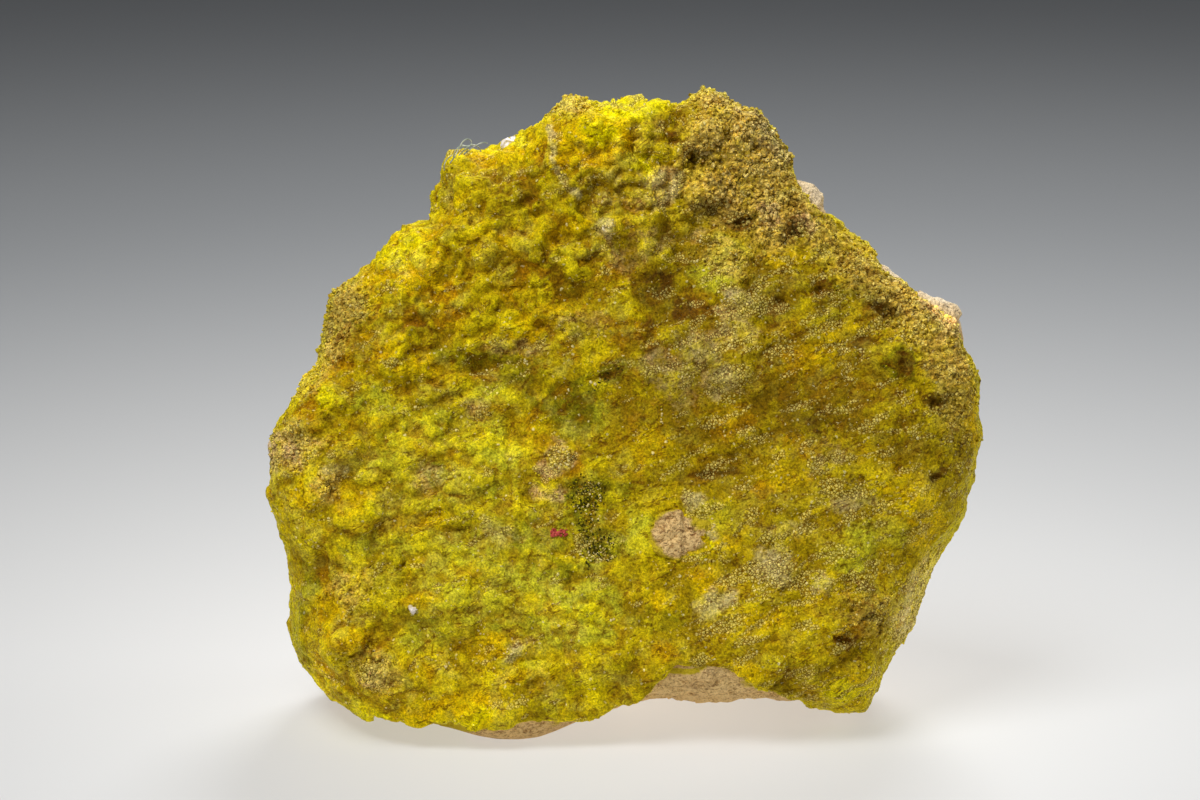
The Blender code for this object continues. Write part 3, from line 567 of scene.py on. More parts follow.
# Forms that stand up from the face or sink in, with how high or deep they go, in mm, as their strength.
RAISED = [
    (-25, 9, 1.6, 1, 0.4), (7, 54.6, 1.4, 1.1, 0.4), (7, 49.5, 1.6, 1, 0.35), (19.6, 10.9, 1.8, 0.8, 0.5),
    (17.5, 14.3, 1, 0.8, 0.35), (-22.6, 6.4, 1.7, 1.2, 0.3, 40), (9.4, 33.4, 2.2, 1.2, 0.3, 30),
    (-1.6, 46.5, 0.9, 0.9, 0.3), (2.6, 56.6, 1.8, 1.2, 0.4), (-20, 33.6, 2.2, 1.4, 0.3),
    (-17.8, 43.4, 1.8, 1.4, 0.35), (23.6, 23, 1.8, 1.2, 0.3), (-15, 10.4, 1.8, 1.2, 0.3), (12.4, 36, 2.4, 1, 0.3, 35),
    (-26.6, 40.4, 1.2, 1, 0.35), (9.2, 42.4, 2, 2.4, 0.3, -30), (-6.2, 38.8, 2.4, 0.7, 0.35, 10),
    (4.6, 36.9, 1.8, 0.6, 0.25, 40), (10.2, 27.2, 3.6, 0.6, 0.25, 22), (13.8, 12.8, 2.2, 0.5, 0.25, 20),
    (3.2, 14.6, 2.2, 0.6, 0.25, 14), (-2.2, 13.4, 2.2, 0.9, 0.3, -20), (21.8, 6.4, 1.6, 1.8, 0.35, 30),
    (26.4, 17.4, 1, 2.6, 0.3, -14),
]
FLAKES = [
    (-28.5, 28.7, 1.5, 0.9, 0.45, 15), (-26.8, 30.6, 1.1, 0.55, 0.35, -12), (-25, 26.3, 1.2, 0.7, 0.35, 5),
    (-24, 19.8, 2.1, 0.9, 0.45, -22), (-28.3, 22.3, 1.2, 1, 0.35, 60), (-25.2, 9.3, 1.3, 0.8, 0.35, -10),
    (-22.2, 7, 1.3, 0.9, 0.3, 30), (9.4, 41.2, 1.3, 1.9, 0.4, -24), (13.2, 7.4, 1.5, 0.6, 0.4, 10),
    (19.4, 10.8, 1.4, 0.6, 0.35, 5), (7.2, 54.8, 1.2, 0.8, 0.3, 10), (-9.9, 8, 1.6, 0.4, 0.3, 38),
    (-6.5, 54.3, 0.35, 0.9, 0.25, 8), (-6.2, 52.7, 0.35, 0.9, 0.25, -6), (-5.6, 51.1, 0.35, 0.8, 0.25, 28),
    (-4.8, 49.7, 0.35, 0.8, 0.25, 30), (-16.4, 31.6, 3.2, 0.7, 0.25, 18), (-11.4, 36.2, 3, 0.7, 0.35, 15),
    (-13.4, 27, 2.4, 0.8, 0.25, 10), (-19, 26.4, 1.8, 0.7, 0.25, -12), (-12.4, 15.2, 2.6, 0.7, 0.3, -18),
    (-18.2, 21.4, 2, 0.6, 0.25, 12), (-8.4, 6.2, 1.8, 0.6, 0.25, 14), (-15.2, 3.2, 2.6, 0.7, 0.3, 8),
    (-21.4, 12.6, 1.6, 0.7, 0.25, -20), (-9.8, 12.2, 1.8, 0.6, 0.25, -30), (-5.2, 16.2, 1.6, 0.5, 0.25, -20),
    (-14, 23.2, 2, 0.6, 0.25, 14), (-22.8, 24.2, 1.6, 0.7, 0.3, 30), (-17, 17.6, 1.8, 0.6, 0.25, -16),
    (-13.6, 49.4, 1.8, 0.8, 0.3, 30), (-20.4, 40.4, 1.8, 0.8, 0.3, 35), (-15.4, 44.6, 1.8, 0.8, 0.3, 30),
    (-10.2, 46.8, 1.6, 0.8, 0.3, 20), (-2.4, 51.8, 1.4, 0.9, 0.35, 10), (1.4, 48.6, 1.6, 0.8, 0.3, -12),
]
SUNK = [
    (6.2, 52.7, 0.7, 0.5, 0.8), (4.5, 54, 0.5, 0.4, 0.5), (8, 48.1, 0.6, 0.5, 0.6), (10.5, 47, 0.8, 0.4, 0.6),
    (15.3, 45.8, 0.6, 0.4, 0.6), (13.8, 39.5, 0.5, 0.4, 0.5), (17.6, 40.5, 0.5, 0.4, 0.5),
    (19.7, 43.2, 0.4, 0.5, 0.6), (23.6, 38.8, 1.3, 0.6, 0.6, -20), (24.8, 34, 0.5, 0.4, 0.4),
    (28.1, 30.2, 0.5, 0.5, 0.5), (28.2, 23.7, 0.5, 0.3, 0.5), (-20.2, 15.7, 0.35, 0.3, 0.6),
    (-19.2, 14.4, 0.9, 0.7, 0.25, -30), (-27.4, 15.4, 0.9, 2.2, 0.5, 6), (-25.3, 6.3, 0.4, 0.4, 0.5),
    (19.6, 9.2, 0.9, 0.4, 1, -8), (22, 10.9, 1.2, 0.3, 0.7, 10), (14, 5.6, 1.2, 0.25, 0.6, 48),
    (-23.2, 7.3, 1.3, 0.25, 0.6), (7.6, 24, 3, 0.35, 0.22, 5), (-15.6, 19, 1.1, 0.25, 0.35),
    (-13.3, 34.1, 0.8, 0.2, 0.3, -28), (21.6, 35.6, 1.2, 0.3, 0.3, 20), (-2.2, 32.7, 1.8, 0.4, 0.4, 25),
    (-7.4, 51.8, 0.3, 2.2, 0.3, 5), (-9, 48.4, 1.8, 0.5, 0.3), (-19.4, 37.8, 2.2, 0.4, 0.3),
    (2.2, 36.6, 0.4, 1.2, 0.3, -20), (1.6, 54.3, 1.8, 0.4, 0.4), (13.4, 53.4, 0.3, 0.3, 0.3),
    (-10.6, 40.6, 2.4, 0.4, 0.3, 12),
]
HEM_PULLS = [  # where its edge hangs lower over the rock, or stops short of it
    (28.6, 39, 1.8, -0.5, -0.6), (24.6, 43, 1.3, -0.35, -0.45), (31.2, 36.2, 1, -0.4, -0.2), (-33, 26, 1.6, 0.35, 0),
    (-4.4, 2.4, 1.8, 0, -1.1), (-1.6, 3.2, 1.8, 0, -1.3), (1.2, 4.4, 1.6, 0, -1.1), (3.4, 5.4, 1, 0, -0.4),
    (-22, 2.4, 2, 0, -0.5), (-18.6, 2, 2.2, 0, -0.9), (-14.8, 1.8, 2.2, 0, -0.9), (-11, 2.2, 2, 0, -0.7),
    (-7, 2.8, 1.8, 0, -0.4), (12.6, 5.4, 1.6, 0, -0.5), (14.8, 4.6, 1.4, 0, -0.4), (7, 20, 1.1, -0.7, -0.7),
    (2.9, 17, 0.9, 0.3, 0.1),
]


def pressed(places, forms, sharp=0.5):
    """The height of listed forms, in mm: flat on top and falling off at the edge."""
    total = np.zeros(len(places))
    for oval, rise in ovals(forms):
        total += rise * eased(np.clip((1.25 - from_middle(places, *oval)) / sharp, 0, 1))
    return total


def streaked(places, angle, size, seed):
    """Creased lumps drawn out along a line that climbs to the right by that angle."""
    turn = math.radians(angle)
    return creased(np.stack((
        (places[:, 0] * math.cos(turn) + places[:, 2] * math.sin(turn)) / 2.6,
        places[:, 1] / 1.5,
        places[:, 2] * math.cos(turn) - places[:, 0] * math.sin(turn)), axis=1), size, seed)


# Chromatite, a dull yellow crust of grains under 0.1 mm: close to, it is waxy and specked
# with pale grain faces. It is painted darker and browner in its hollows, which is painted shade,
# and paler on its tops, which is painted highlight.
# Its grains are drawn at 0.26 mm, the finest that shows.
GRAIN = 0.26  # mm
TINTS = [("Red", "#B87E08", 0.5), ("Green", "#CFC244", 0.45), ("Blue", "#EED60A", 0.6)]  # its own drift of hue
SMOOTH = {"interpolation_type": "SMOOTHSTEP"}
chromatite, tree, place = new_material("chromatite_drusy_crust")
hollow, coarse, gritty, sparkly, shade, *zones = [
    add_node(tree, "Attribute", {"attribute_name": name}, {}).outputs["Fac"]
    for name in ("hollow", "coarse", "gritty", "sparkly", "shade", *PIGMENTS_AND_RIM_GLOW)]
drawn_out = add_node(tree, "Mapping", {"vector_type": "TEXTURE"}, {
    "Vector": place, "Rotation": (0, math.radians(-22), 0), "Scale": (2.2, 1, 0.8)})
grain, grain_edge, pebble = [
    add_node(tree, "TexVoronoi", {"feature": feature}, {"Vector": place, "Scale": MM / size})
    for feature, size in (("F1", GRAIN), ("DISTANCE_TO_EDGE", GRAIN), ("F1", 0.42))]
drift, mottle, relief, fine, tints, cracks, crowds = [
    add_node(tree, "TexNoise", {}, {
        "Vector": where, "Scale": MM / size, "Detail": detail, "Roughness": roughness, "Distortion": twist})
    for where, size, detail, roughness, twist in (
        (place, 5, 5, 0.65, 0), (place, 1.2, 5, 0.65, 0), (place, 0.9, 4, 0.75, 0), (place, 0.2, 3, 0.7, 0),
        (place, 2.4, 4, 0.6, 0), (drawn_out, 2.1, 4, 0.6, 0.4), (drawn_out, 1.4, 3, 0.6, 0.3))]
own = add_node(tree, "SeparateColor", {}, {"Color": grain.outputs["Color"]}).outputs
tint_parts = add_node(tree, "SeparateColor", {}, {"Color": tints.outputs["Color"]}).outputs
fray = add_node(tree, "Math", {"operation": "MULTIPLY_ADD"}, {0: own["Red"], 1: 0.08, 2: 0.16})
fray = add_node(tree, "Math", {"operation": "MULTIPLY_ADD"}, {0: mottle, 1: 1.1, 2: fray})
crack_line = add_node(tree, "Math", {"operation": "PINGPONG"}, {0: cracks, 1: 0.5})
crowded = add_node(tree, "Math", {"operation": "MULTIPLY_ADD"}, {0: sparkly, 1: 0.28, 2: crowds})
crowded = add_node(tree, "Math", {"operation": "MULTIPLY_ADD"}, {0: own["Green"], 1: 0.08, 2: crowded})
# What each share is read from, between which two values, and what it is at them.
share = {
    name: add_node(tree, "MapRange", {}, dict(zip(("Value", "From Min", "From Max", "To Min", "To Max"), reading)))
    for name, reading in {
        "waxy": (gritty, 0.1, 0.6, 1.0, 0.45),
        "sunk": (hollow, 0.0, 1.0, 0.0, 0.75),
        "proud": (hollow, -0.1, -1.0, 0.0, 0.45),
        "crack": (crack_line, 0.47, 0.495, 0.0, 0.75),
        "cracked": (mottle, 0.44, 0.56, 0.0, 1.0),
        "cluster": (crowded, 0.67, 0.72, 0.0, 0.85),
        "core": (grain_edge, 0.08, 0.2, 0.0, 0.8),
        "gap": (grain_edge, 0.14, 0.04, 0.0, 0.9),
        "pit": (own["Blue"], 0.91, 0.97, 0.0, 0.8),
        "pin": (own["Green"], 0.975, 0.995, 0.0, 0.7),
        # lighter on the relief's high points and darker in its low ones, the same pattern the bump follows: painted
        # light and shade
        "mottled": (relief, 0.3, 0.7, 0.82, 1.18),
        "flecked": (fine, 0.36, 0.64, 0.58, 1.42),
        "grainy": (own["Red"], 0.0, 1.0, 0.86, 1.14),
        # darker in the gaps between the coarse grains and lighter on their middles: painted shade and light
        "pebbly": (pebble, 0.15, 0.75, 0.3, -0.2),
        "rough": (own["Blue"], 0.86, 1.0, 0.6, 0.12),
    }.items()}
colour = add_node(tree, "ValToRGB", {"stops": ((0.38, "#987C06"), (0.62, "#C8AD0A"))}, {"Fac": drift})
for zone, (tone, most, _) in zip(zones, PIGMENTS_AND_RIM_GLOW.values()):
    frayed = add_node(tree, "Math", {"operation": "ADD"}, {0: fray, 1: zone})
    shown = add_node(tree, "MapRange", SMOOTH, {"Value": frayed, "From Min": 0.9, "From Max": 1.5, "To Max": most})
    colour = add_node(tree, "Mix", COLOURS, {0: shown, 6: colour, 7: tone})
for part, tone, most in TINTS:
    shown = add_node(tree, "MapRange", SMOOTH, {
        "Value": tint_parts[part], "From Min": 0.50, "From Max": 0.64, "To Max": most})
    shown = add_node(tree, "Math", {"operation": "MULTIPLY"}, {0: shown, 1: share["waxy"]})
    colour = add_node(tree, "Mix", COLOURS, {0: shown, 6: colour, 7: tone})
# painted shade in the hollows and painted highlight on the tops, both read from the relief
painted_hollow_shade = add_node(tree, "Mix", COLOURS, {0: gritty, 6: "#926600", 7: "#533500"})
painted_top_highlight = add_node(tree, "Mix", COLOURS, {0: coarse, 6: "#EEDD10", 7: "#ECDA94"})
# the pale cluster cores are partly painted sparkle, and the palest single grain cores are painted glints
for shown, *limits, tone in (
    (share["sunk"], painted_hollow_shade), (share["proud"], painted_top_highlight), (share["crack"], share["cracked"], "#643A00"),
    (share["gap"], share["cluster"], "#6E4A08"), (share["core"], share["cluster"], "#E2CE6C"),
    (share["core"], share["pin"], "#FAEEA8"), (share["pit"], gritty, "#4A2E00"),
):
    for limit in limits:
        shown = add_node(tree, "Math", {"operation": "MULTIPLY"}, {0: shown, 1: limit})
    colour = add_node(tree, "Mix", COLOURS, {0: shown, 6: colour, 7: tone})
pebble_light_and_shade = add_node(tree, "Math", {"operation": "MULTIPLY_ADD"}, {0: share["pebbly"], 1: coarse, 2: 1.0})
light = share["mottled"]
for other in (share["flecked"], share["grainy"], pebble_light_and_shade, shade):
    light = add_node(tree, "Math", {"operation": "MULTIPLY"}, {0: light, 1: other})
toned = add_node(tree, "VectorMath", {"operation": "SCALE"}, {0: colour, "Scale": light})
grain_rise = add_node(tree, "MapRange", {}, {"Value": share["cluster"], "To Min": 0.3, "To Max": 0.8})
normal = {}
for pattern, strength, height, inverted in (
    (grain, grain_rise, 0.14, True), (pebble, coarse, 0.25, True), (fine, 0.6, 0.15, False), (relief, 0.5, 0.5, False),
):
    normal = {"Normal": add_node(tree, "Bump", {"invert": inverted}, {
        "Strength": strength, "Distance": height / MM, "Height": pattern, **normal})}
surface = add_node(tree, "BsdfPrincipled", {}, {
    "Base Color": toned, "Roughness": share["rough"], "IOR": 1.6, "Specular IOR Level": 0.035, **normal})
add_node(tree, "OutputMaterial", {}, {"Surface": surface})

crust = add_mesh("chromatite_crust_skin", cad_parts["chromatite_crust"].data.copy())
rooted = points_of(crust.data)
near_rock = depth_in(rooted, "matrix_rock") > -HIDDEN_SIDE_WITHIN
rooted[near_rock] -= np.array([out for _, out in nearest_on("matrix_rock", rooted[near_rock])]) * CRUST_ROOTING / MM
set_points(crust.data, rooted)
crust_mesh = settled(
    crust,
    ("WELD", {"merge_threshold": 0.001 / MM}),
    ("SUBSURF", {"levels": 1}),
    ("REMESH", {"mode": "VOXEL", "voxel_size": CRUST_MESH_STEP / MM}))
crust_points = softened(crust_mesh, points_of(crust_mesh), CRUST_SOFTENING)
set_points(crust_mesh, crust_points)
crust_mesh = thinned(crust, depth_in(crust_points, "matrix_rock") > CRUST_SUNK, CRUST_KEPT)
crust_points = points_of(crust_mesh)

places = on_face(crust_points)
strayed = astray(places, 0.75, 61)
crust_depth = depth_in(crust_points, "matrix_rock")
stains_and_painted_light = {name: inside_spots(strayed, spots) for name, (_, _, spots) in PIGMENTS_AND_RIM_GLOW.items()}
sandy_here, pale_here = stains_and_painted_light["sandy"], stains_and_painted_light["pale"]
firm_here = 1 - sandy_here
lumpy_here = inside_spots(places, LUMPY) * firm_here
streaky_here = between(places[:, 0], 2, 8) * firm_here
left_here = between(places[:, 0], 2, -4) * firm_here
right_here = between(places[:, 0], -4, 6)
upper_here = between(places[:, 2], 22, 30)
crust_lift = (  # mm; each form has its size in mm, then its seed
    0.22 * swells(places, 5.0, 44)
    + (0.40 * lumpy_here + 0.06) * swells(places, 2.9, 49)
    + (0.20 * lumpy_here + 0.04) * creased(places, 2.2, 45)
    + (0.16 * lumpy_here + 0.05) * creased(places, 1.3, 46)
    + (0.16 * lumpy_here + 0.05) * plates(astray(places, 0.3, 64), 2.2, 51)
    + (0.08 * lumpy_here + 0.05) * plates(astray(places, 0.2, 65), 1.1, 53)
    + 0.10 * left_here * upper_here * streaked(places, 24, 1.5, 54)
    + 0.10 * left_here * (1 - upper_here) * streaked(places, -18, 1.5, 55)
    + 0.09 * streaky_here * streaked(places, 28, 1.1, 47)
    + 0.16 * sandy_here * creased(places, 2.6, 56)
    + (0.05 + 0.36 * sandy_here + 0.04 * pale_here) * grains(places, 0.85, 41)
    + (0.07 + 0.16 * sandy_here + 0.05 * pale_here) * grains(places, 0.5, 43)
    - (0.15 + 0.5 * sandy_here) * np.clip(swells(places, 1.4, 48) - 0.62 + 0.22 * sandy_here, 0, 1)
    + pressed(astray(places, 0.55, 62), RAISED)
    + pressed(astray(places, 0.6, 66), FLAKES, 0.22)
    - pressed(astray(places, 0.4, 63), SUNK, 0.8)
)
crust_lift = np.where(crust_depth > LEAST_SHOWING, 0, crust_lift)
crust_points = crust_points + outward_of(crust_mesh) * (crust_lift / MM)[:, None]
crust_points += off_face(pulled(places, CORNER_PULLS + HEM_PULLS)) - off_face(places)
crust_points[:, 2] = np.maximum(crust_points[:, 2], CRUST_CLEARANCE / MM)
set_points(crust_mesh, crust_points)
way_out = outward_of(crust_mesh)
turned = softened(crust_mesh, way_out, 10) @ np.array((0, math.cos(LEAN), -math.sin(LEAN)))
hollow_here = np.zeros(len(crust_points))
for rounds, full_dip, reading in HOLLOW_READINGS:
    dip = ((softened(crust_mesh, crust_points, rounds) - crust_points) * way_out).sum(axis=1) * MM
    hollow_here += np.clip(dip / full_dip, -1, 1) * reading
stains_and_painted_light["pale"] = pale_here * 0.7
# painted rim glow: lemon where the crust turns away from the front
stains_and_painted_light["rim"] = between(turned, -0.55, -0.05)
# painted shade in the hollows and painted highlight on the tops, kept lower on the right and round the window
stains_and_painted_light["hollow"] = hollow_here * (0.6 - 0.2 * right_here) * (1 - 0.8 * inside_spots(places, ROUND_WINDOW))
stains_and_painted_light["coarse"] = np.maximum(sandy_here * (0.45 + 0.55 * right_here), 0.35 * pale_here)
stains_and_painted_light["gritty"] = np.clip(0.1 + 0.5 * right_here + 0.5 * sandy_here * right_here - 0.5 * pale_here, 0, 1)
stains_and_painted_light["sparkly"] = np.clip(
    0.08 + 0.35 * pale_here + 0.26 * streaky_here + 0.3 * sandy_here + 0.6 * stains_and_painted_light["pink"] + 0.5 * stains_and_painted_light["mossy"],
    0, 1)
# a tone that multiplies the crust's colour: random swells, a lighter sandy ground, and the listed darker and lighter
# places, some of them painted shade and light
stains_and_painted_light["shade"] = (
    1 + 0.1 * sandy_here + (1 - 0.65 * right_here) * (0.14 * swells(places, 7.0, 67) + 0.1 * swells(places, 3.2, 68))
    - inside_spots(strayed, DEEPER) + inside_spots(strayed, BRIGHTER))
for name, values in stains_and_painted_light.items():
    set_values(crust_mesh, name, values)
crust_mesh.polygons.foreach_set("use_smooth", np.ones(len(crust_mesh.polygons), dtype=bool))
crust_mesh.materials.append(chromatite)
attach(crust, "root")
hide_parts("chromatite_crust")


# ------------------------------ sandy grains
# Grains of sand and of crushed crust, 0.16 to 0.64 mm, that the growing crust has
# caught. They lie thick on the sandy ground at the upper right and on the left
# rim, thin elsewhere, and each is half sunk and coated with the same chromatite.

SAND_COUNT = 5600
SAND_RADII = (0.08, 0.32)  # mm
SAND_LARGEST = (0.13, 0.22)  # mm of radius anywhere, and what sandy ground adds
SAND_PROUD = 0.25  # the share of its radius that a grain is raised
SAND_LOWEST = 0.5  # mm above the table
RAGGED = 0.16  # the share by which a grain's corners stray
LUMP_CORNERS = 12  # in a lump with 20 faces
draw = np.random.default_rng(71)  # the one steady source of chance for all strewn grains


def strewn(wanted, count):
    """So many random spots on the crust: where, which way is out, and the mesh point beside each.
    wanted is the crowding at each of its points."""
    crust_mesh.calc_loop_triangles()
    corners = np.zeros(len(crust_mesh.loop_triangles) * 3, dtype=np.int64)
    crust_mesh.loop_triangles.foreach_get("vertices", corners)
    corners = corners.reshape(-1, 3)
    at = points_of(crust_mesh)[corners]
    area = np.linalg.norm(np.cross(at[:, 1] - at[:, 0], at[:, 2] - at[:, 0]), axis=1)
    crowding = area * wanted[corners].mean(axis=1)
    chosen = draw.choice(len(corners), size=count, p=crowding / crowding.sum())
    shares = draw.dirichlet((1, 1, 1), count)
    where = (at[chosen] * shares[:, :, None]).sum(axis=1)
    return where, outward_of(crust_mesh)[corners[chosen, 0]], corners[chosen, 0]


def crystal_form(sides):
    """The points and faces of a lump with 8 or 20 faces, of radius 1."""
    form = bmesh.new()
    if sides == 20:
        bmesh.ops.create_icosphere(form, subdivisions=1, radius=1)
    else:
        for point in ((1, 0, 0), (-1, 0, 0), (0, 1, 0), (0, -1, 0), (0, 0, 1), (0, 0, -1)):
            form.verts.new(point)
        bmesh.ops.convex_hull(form, input=form.verts[:])
    form.verts.index_update()
    shape = np.array([vert.co for vert in form.verts]), np.array([[v.index for v in face.verts] for face in form.faces])
    form.free()
    return shape


def add_grains(name, where, radii, sides, material):
    """One object of separate rough lumps, each turned and squashed at random. radii is one per lump, in mm."""
    form, faces = crystal_form(sides)
    turn = draw.normal(size=(len(where), 4))
    w, x, y, z = (turn / np.linalg.norm(turn, axis=1)[:, None]).T
    spin = np.array([
        [1 - 2 * (y * y + z * z), 2 * (x * y - z * w), 2 * (x * z + y * w)],
        [2 * (x * y + z * w), 1 - 2 * (x * x + z * z), 2 * (y * z - x * w)],
        [2 * (x * z - y * w), 2 * (y * z + x * w), 1 - 2 * (x * x + y * y)]]).transpose(2, 0, 1)
    squash = draw.uniform(0.7, 1.15, (len(where), 1, 3))
    lumps = form[None] * squash * (1 + RAGGED * draw.normal(size=(len(where), len(form), 1)))
    points = np.einsum("nij,nkj->nki", spin, lumps) * (radii / MM)[:, None, None] + where[:, None]
    starts = np.arange(len(where))[:, None, None] * len(form)
    mesh = bpy.data.meshes.new(name)
    mesh.from_pydata(points.reshape(-1, 3).tolist(), [], (faces[None] + starts).reshape(-1, 3).tolist())
    mesh.update()
    return add_mesh(name, mesh, material)


showing = (crust_depth < LEAST_SHOWING).astype(float)
sand_crowding = showing * np.clip(0.15 - 1.5 * turned, 0, 1) * (
    0.05 + 2.6 * sandy_here + 0.8 * stains_and_painted_light["pale"] + 3.0 * stains_and_painted_light["mossy"] + 0.8 * stains_and_painted_light["pink"])
sand_at, sand_out, sand_host = strewn(sand_crowding, SAND_COUNT)
sand_radii = SAND_RADII[0] + (SAND_RADII[1] - SAND_RADII[0]) * draw.random(SAND_COUNT) ** 2
sand_radii = np.minimum(sand_radii, SAND_LARGEST[0] + SAND_LARGEST[1] * sandy_here[sand_host])
sand_at += sand_out * (sand_radii * SAND_PROUD / MM)[:, None]
sand_at[:, 2] = np.maximum(sand_at[:, 2], SAND_LOWEST / MM)
sand = add_grains("crusted_sand_grains", sand_at, sand_radii, 20, chromatite)
for name, values in stains_and_painted_light.items():
    each = values[sand_host] * (0.2 if name in ("mossy", "sparkly") else 1)
    # each sand grain gets a random painted highlight, a few of them painted shade
    if name == "hollow":
        each = draw.uniform(-1.0, 0.4, SAND_COUNT)
    set_values(sand.data, name, np.repeat(each, LUMP_CORNERS))
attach(sand, "root")


# ------------------------------ calcite specks
# Clear to white calcite that broke with the rock: pinpoint cleavage faces all
# over the crust that catch the light, and a few white grains up to a millimetre
# across that sit on it.

GLINT_COUNT = 1500
GLINT_RADII = (0.03, 0.08)  # mm
GLINT_LOWEST = 0.3  # mm above the table
WHITE_PROUD = 0.2  # the share of its radius that a white grain is raised
# White grains: across, height, half width, half height, pieces, radius in mm.
WHITE_GRAINS = [
    (-10.9, 54, 0.22, 0.1, 5, 0.55), (-10.2, 54.4, 0.18, 0.1, 4, 0.52), (-19.2, 11.8, 0.28, 0.34, 9, 0.36),
    (-18.6, 10.8, 0.1, 0.05, 2, 0.12), (-5.2, 46.5, 0.2, 0.2, 3, 0.13), (-1.6, 46.3, 0.6, 0.6, 14, 0.13),
    (-1.8, 46.1, 0.15, 0.15, 2, 0.26), (7, 42.5, 0.2, 0.2, 2, 0.12), (11.5, 40.2, 0.3, 0.2, 3, 0.12),
    (-2.8, 32.2, 0.3, 0.1, 3, 0.16), (-5.3, 31.5, 0.2, 0.2, 3, 0.12), (3.3, 29.3, 0.1, 0.7, 7, 0.11),
    (-16.2, 6.6, 0.25, 0.15, 3, 0.13), (-12.9, 9.7, 0.2, 0.15, 3, 0.13), (-1.2, 10.8, 0.2, 0.2, 2, 0.13),
    (7.6, 19.3, 0.55, 0.8, 16, 0.11), (-10, 8, 1.2, 0.3, 12, 0.1), (9.4, 39.4, 0.7, 0.5, 12, 0.11),
    (-11.4, 26.7, 0.2, 0.1, 2, 0.11), (-3.4, 21.6, 1.3, 1.7, 34, 0.11), (-2.6, 17.2, 1.5, 1.1, 34, 0.11),
    (4.6, 34, 2.2, 2, 26, 0.09), (13.4, 15.6, 1.6, 1.8, 26, 0.1), (8.6, 12.7, 1.4, 0.9, 18, 0.1),
    (-5.8, 25.4, 1.2, 1, 16, 0.12), (3.4, 50.4, 1.6, 1.2, 18, 0.1), (17.6, 14, 0.8, 0.8, 12, 0.1),
    (28.4, 38, 1.6, 1.2, 16, 0.12),
]


def on_crust(places):
    """For places across and up the face, the points of the crust's front there, and which way is out."""
    found = []
    into = Vector((0, math.cos(LEAN), -math.sin(LEAN)))
    for across, height in places:
        point, out, _, _ = crust_tree.ray_cast(Vector(off_face(np.array([(across, -20.0, height)]))[0]), into)
        if point is not None:
            found.append((*point, *out))
    found = np.array(found)
    return found[:, :3], found[:, 3:]


# Calcite, cleaved: clear and glassy with flat shiny faces, white where it is cracked inside.
calcite, tree, place = new_material("calcite_cleaved")
cloud = add_node(tree, "TexNoise", {}, {"Vector": place, "Scale": MM / 0.5, "Detail": 3.0, "Roughness": 0.6})
clouded = add_node(tree, "ValToRGB", {"stops": ((0.35, "#D6BE6C"), (0.65, "#F0E09C"))}, {"Fac": cloud})
whiteness = add_node(tree, "Attribute", {"attribute_name": "whiteness"}, {}).outputs["Fac"]
whitened = add_node(tree, "Mix", COLOURS, {0: whiteness, 6: clouded, 7: "#F2ECF4"})
surface = add_node(tree, "BsdfPrincipled", {}, {
    "Base Color": whitened, "Roughness": 0.3, "IOR": 1.6, "Specular IOR Level": 0.25})
add_node(tree, "OutputMaterial", {}, {"Surface": surface})

crust_tree = BVHTree.FromObject(crust, bpy.context.evaluated_depsgraph_get())
in_clusters = np.clip(swells(places, 1.7, 69) + 0.1, 0.06, 1)
glint_crowding = showing * in_clusters * (
    0.2 + 2.0 * stains_and_painted_light["pale"] + 0.15 * stains_and_painted_light["umber"] + 0.6 * sandy_here + 1.0 * stains_and_painted_light["mossy"]
    + 0.5 * stains_and_painted_light["pink"] + 0.5 * np.clip(hollow_here, 0, 1))
glint_at, glint_out, _ = strewn(glint_crowding, GLINT_COUNT)
glint_radii = GLINT_RADII[0] + (GLINT_RADII[1] - GLINT_RADII[0]) * draw.random(GLINT_COUNT) ** 2
glint_at += glint_out * (GLINT_RADII[0] / MM)
glint_at[:, 2] = np.maximum(glint_at[:, 2], GLINT_LOWEST / MM)
glints = add_grains("calcite_pinpoints", glint_at, glint_radii, 8, calcite)
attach(glints, "root")

white_places, white_radii = [], []
for across, height, half_width, half_height, pieces, radius in WHITE_GRAINS:
    for _ in range(pieces):
        white_places.append((across + half_width * draw.uniform(-1, 1), height + half_height * draw.uniform(-1, 1)))
        white_radii.append(radius * draw.uniform(0.6, 1.1))
white_at, white_out = on_crust(white_places)
white_radii = np.array(white_radii[:len(white_at)])
white_at += white_out * (white_radii * WHITE_PROUD / MM)[:, None]
whites = add_grains("calcite_grains", white_at, white_radii, 20, calcite)
whiteness_of = np.clip(white_radii * 3.2 - 0.4, 0, 0.9)  # the larger, the whiter
set_values(whites.data, "whiteness", np.repeat(whiteness_of, LUMP_CORNERS))
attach(whites, "root")


# ------------------------------ red speck
# One small film of red iron oxide, 1.4 mm long, stuck to the crust at the
# middle: a crowd of dusty flakes a quarter of a millimetre across.

RED_SPECK = (-6.0, 18.7, 0.7, 0.3)  # across, height, half width, half height in mm
RED_PIECES = 60
RED_RADII = (0.09, 0.16)  # mm
RED_RISE = 0.06  # mm that they stand off the crust


def speckled(name, speck, detail, tones, surface):
    """A material that wanders between two tones in specks so many mm across."""
    made, tree, place = new_material(name)
    pattern = add_node(tree, "TexNoise", {}, {"Vector": place, "Scale": MM / speck, "Detail": detail})
    tone = add_node(tree, "ValToRGB", {"stops": zip((0.35, 0.65), tones)}, {"Fac": pattern})
    add_node(tree, "OutputMaterial", {}, {
        "Surface": add_node(tree, "BsdfPrincipled", {}, {"Base Color": tone, **surface})})
    return made


# Haematite dust: matt brick red, a little lighter on each flake.
haematite = speckled("haematite_dust", 0.3, 2.0, ("#A02C22", "#D65A4C"), {"Roughness": 0.7})

